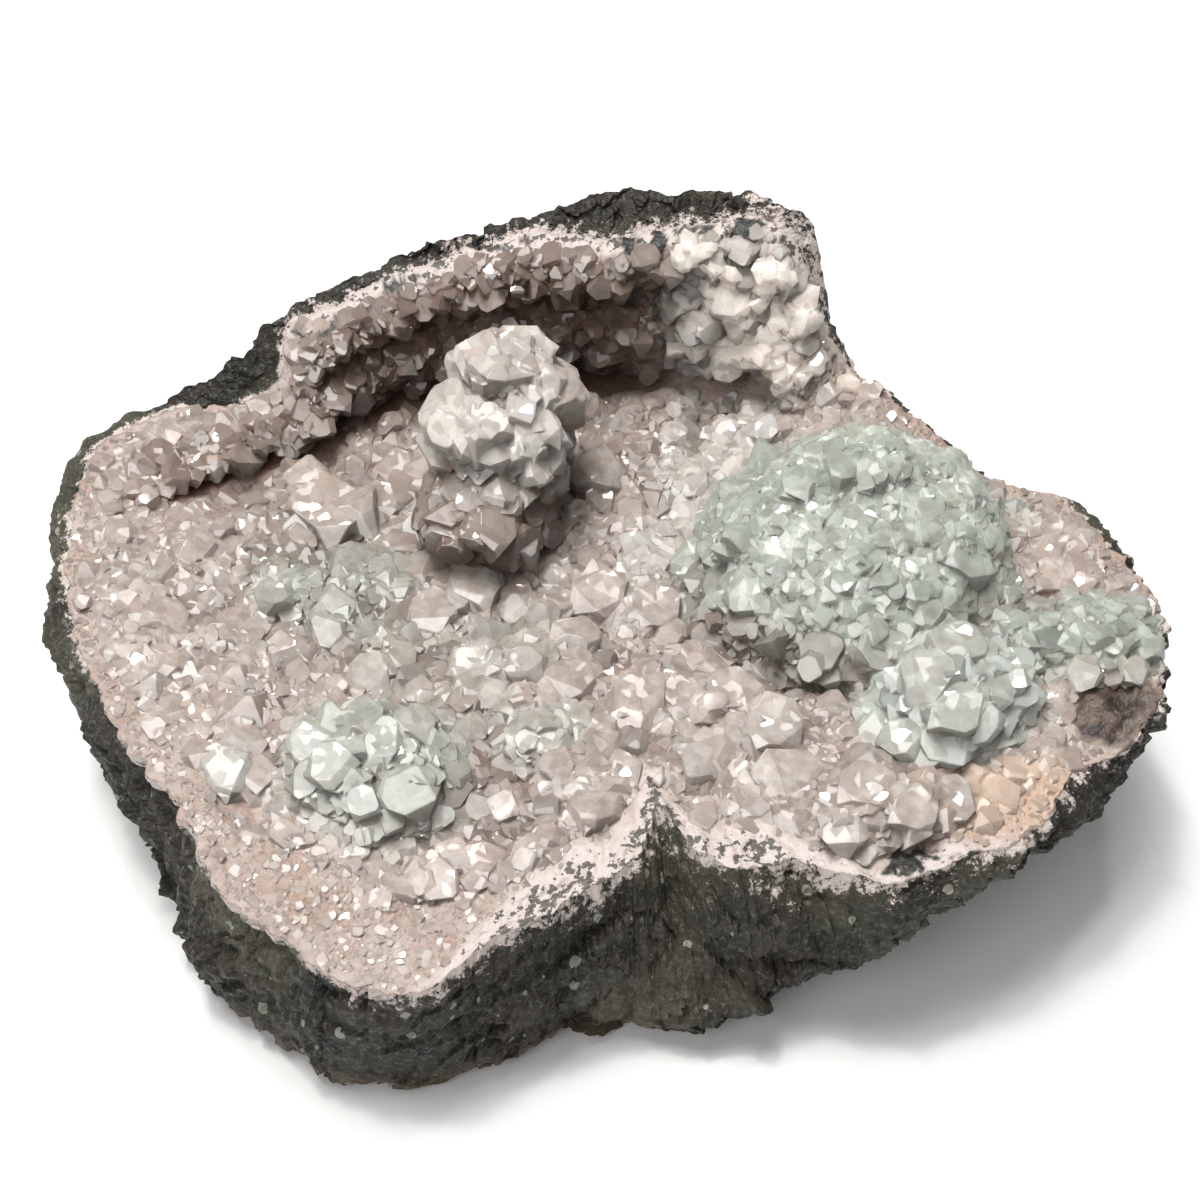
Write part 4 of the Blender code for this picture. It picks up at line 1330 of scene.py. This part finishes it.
SINGLE_CRYSTALS = tuple(Named(*row) for row in (
    (-66, 29, 9.5, 11, BLOCK, 31, 0.1, 0.15), (-72, 37, 5.5, 7, BLOCK, 32, 0.0, 0.6),
    (-80, -51, 6.5, 8, PLATE, 33, 0.45, 0.9), (-37, 26, 6, 8, BLOCK, 34),
    (-29, 6, 6.5, 7, BLOCK, 35, 0.1, 0.9), (-39, -3, 5.5, 7, BLOCK, 36),
    (-29, -19, 7, 8, PLATE, 37, 0.3, 0.95), (-52, -22, 5.5, 6, BLOCK, 38, 0.2, 0.8),
    (13, -1, 6.5, 7, BLOCK, 39, 0.1, 0.6), (30, -29, 6.5, 7, BLOCK, 40, 0.05, 0.55),
    (37, -38, 7.5, 8, PLATE, 41, 0.05, 0.9), (9, -29, 6.5, 6, BLOCK, 42, 0.0, 0.5),
    (55, -60, 6, 6, BLOCK, 43, 0.05, 0.5), (64, -65, 5, 5, BLOCK, 65, 0.05, 0.6),
    (50, -66, 4.5, 5, POINT, 66, 0.05, 0.4), (73, -60, 5.5, 5.5, BLOCK, 44, 0.1, 0.5),
    (44, -52, 5.5, 6, BLOCK, 45, 0.0, 0.7), (0, 40, 6.5, 7, BLOCK, 46),
    (-95, 12, 5.5, 6, PLATE, 47, 0.0, 0.4), (70, -36, 6, 8, BLOCK, 48, 0.75, 0.95),
    (77, -29, 6, 7, BLOCK, 49, 0.7, 0.9),
    (84, -37, 6.5, 8, PLATE, 50, 0.75, 0.95), (75, -43, 6, 7, BLOCK, 51, 0.8, 0.8),
    (66, -44, 5.5, 6, BLOCK, 52, 0.8, 0.7), (-47, -48, 6, 6, BLOCK, 53, 0.9, 0.25),
    (-56, -54, 5, 5, BLOCK, 54, 0.7, 0.3), (-39, -57, 5, 5, PLATE, 55, 0.8, 0.3),
    (-40, -42, 5, 5, BLOCK, 56, 0.7, 0.3), (-23, 39, 8.5, 9, BLOCK, 57, 0.0, 0.8, 81),
    (-12, 38, 7.5, 8, BLOCK, 58, 0.0, 0.8, 74), (-31, 36, 7, 7, BLOCK, 59, 0.0, 0.9, 73),
    (-23, 27, 7, 7, PLATE, 60, 0.0, 0.9, 70), (-30, 26, 6, 7, BLOCK, 61, 0.0, 0.7, 61),
    (-15, 26, 6, 7, POINT, 62, 0.0, 0.6, 60), (-34, 15, 6, 7, BLOCK, 63, 0.0, 0.7, 54),
    (-20, 14, 6, 6, BLOCK, 64, 0.0, 0.5, 50)))


@dataclass
class NamedCrystals:
    """The crystals that the photograph shows one by one, set on the bed."""

    name: str = "single_crystals"
    crystals: Tuple[Named, ...] = SINGLE_CRYSTALS
    bevel: float = WORN_EDGE
    lean: Row = (0.0, -0.2)
    # A height clear of the whole object, from which each place is looked for on the bed.
    above: float = 300.0

    def build(self, bed: Object, finish: Material) -> Object:
        """Sets each crystal on the bed, or at its own height, and joins them.

        Args:
            bed: the lining that they stand on.
            finish: their material.

        Returns:
            The piece, riding and dressed.
        """
        scratch = bpy.data.collections.new("scratch")
        corners = [v.co for v in bed.data.vertices]
        tree = BVHTree.FromPolygons(corners, [p.vertices for p in bed.data.polygons])
        points: List[Array] = []
        faces: List[Tuple[int, ...]] = []
        looks: List[Array] = []
        for c in self.crystals:
            shape = CrystalShape(c.habit, c.seed, twinned=True).build(scratch, self.bevel)
            high = Vector((c.x, c.y, self.above)) * MM
            spot, normal, *_ = tree.ray_cast(high, Vector((0, 0, -1)))
            if c.height is not None:
                spot, normal = Vector((c.x, c.y, c.height)) * MM, Vector((0, 0, 1))
            up = (normal * 0.5 + Vector((*self.lean, 1.0))).normalized()
            spin = Matrix.Rotation(random.Random(c.seed).uniform(0, 6.28), 4, "Z")
            turn = up.to_track_quat("Z", "Y").to_matrix().to_4x4() @ spin
            scale = Matrix.Diagonal((c.half * MM, c.half * MM, c.rise * MM, 1.0))
            move = Matrix.Translation(spot - up * (0.3 * c.rise * MM)) @ turn @ scale
            base = sum(len(p) for p in points)
            verts = np.array([move @ v.co for v in shape.data.vertices]) / MM
            points.append(verts)
            faces.extend(tuple(base + i for i in p.vertices) for p in shape.data.polygons)
            tip = np.array([d.value for d in shape.data.attributes["tip"].data])
            looks.append(np.stack((np.full(len(verts), c.tone), np.full(len(verts), c.green), tip)))
        obj = make_object(self.name, np.concatenate(points), faces, False)
        for label, values in zip(("tone", "green", "tip"), np.concatenate(looks, axis=1)):
            set_attribute(obj, label, values)
        obj.data.materials.append(finish)
        for shape in list(scratch.objects):
            bpy.data.objects.remove(shape)
        bpy.data.collections.remove(scratch)
        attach(obj, "root")
        return obj


def crystal_store(name: str, habits: Sequence[Habit], count: int, plain: bool, bevel: float,
                  twinned: bool = False) -> Collection:
    """A collection of crystal shapes for the druse to copy.

    Args:
        name: the collection's name.
        habits: the habits to take in turn.
        count: how many shapes.
        plain: whether they have the fewest faces.
        bevel: width of their worn edges, as a share of the half width.
        twinned: whether a smaller crystal grows through each.

    Returns:
        The collection, outside the scene.
    """
    store = bpy.data.collections.new(name)
    for n in range(count):
        CrystalShape(habits[n % len(habits)], 100 + n, plain, twinned).build(store, bevel)
    return store


def main() -> None:
    """Builds the geode and the studio, and reports each piece."""
    logging.basicConfig(level=logging.INFO, format="%(message)s")
    log = logging.getLogger("geode")
    form = HollowForm()
    Studio().build()
    rock, bed, pillar = BasaltRock(form).build(), CrustBed(form).build(), Pillar().build()
    tree = DruseTree().build()
    big = crystal_store("big_shapes", (BLOCK, BLOCK, PLATE, POINT), 10, False, WORN_EDGE, True)
    coarse = crystal_store("coarse_shapes", (BLOCK, POINT, BLOCK), 16, False, 0.0)
    fine = crystal_store("fine_shapes", (POINT, BLOCK, BLOCK), 9, True, 0.0)
    milky = MilkyCrystal("milky_zeolite").material()
    # A lit copy of the milky crystals for the back wall's right end: paler colours as painted light, over
    # their own whiteness.
    painted_lit_finish = MilkyCrystal(
        "bright_zeolite", scatter=0.9, pink="#E2D2C5", white="#F2E9E0", root="#C4AF9C", glow=3.2).material()
    mint = MilkyCrystal("mint_apophyllite", scatter=0.9, clearness=0.15).material()
    clear = MilkyCrystal("clear_zeolite", clearness=0.4, glow=1.2, pink="#D6C9C0", white="#E6E2DE").material()
    growths = (
        (Druse("crystals_big", "grow_big", 5.8, 3.2, 6.2, 0.4, 0.5, 1), bed, big, milky),
        (Druse("crystals_bluff", "grow_bluff", 3.9, 2.7, 5.1, 0.4, 0.25, 9, 1.1), bed, big, painted_lit_finish),
        (Druse("mound_crystals", "grow_mound", 2.5, 1.6, 3.2, 0.35, 0.58, 21), bed, coarse, mint),
        (Druse("crystals_middle", "grow_mid", 3.5, 2.0, 4.0, 0.5, 0.5, 2), bed, coarse, milky),
        (Druse("crystals_fine", "grow_fine", 2.35, 1.2, 2.5, 0.6, 0.5, 3), bed, fine, milky),
        (Druse("rim_grains", "grow_rim", 1.5, 0.7, 1.6, 0.35, 0.8, 7), bed, fine, milky),
        (Druse("pillar_big", "grow_big", 7.0, 5.0, 7.8, 0.45, 0.3, 6, 0.2), pillar, big, milky),
        (Druse("pillar_middle", "grow_mid", 4.0, 2.4, 4.4, 0.45, 0.35, 4), pillar, coarse, milky),
        (Druse("pillar_fine", "grow_fine", 2.2, 1.2, 2.2, 0.6, 0.3, 5), pillar, fine, milky),
        (Druse("clear_tips", "grow_clear", 13.0, 2.4, 5.0, 0.5, 0.3, 8), bed, coarse, clear))
    pieces = [rock, bed, pillar]
    pieces += [druse.build(ground, tree, store, finish) for druse, ground, store, finish in growths]
    pieces.append(NamedCrystals().build(bed, milky))
    for store in (big, coarse, fine):
        for shape in list(store.objects):
            bpy.data.objects.remove(shape)
    for piece in pieces:
        triangles = sum(len(p.vertices) - 2 for p in piece.data.polygons)
        log.info("%s: %d triangles", piece.name, triangles)


if __name__ == "__main__":
    main()
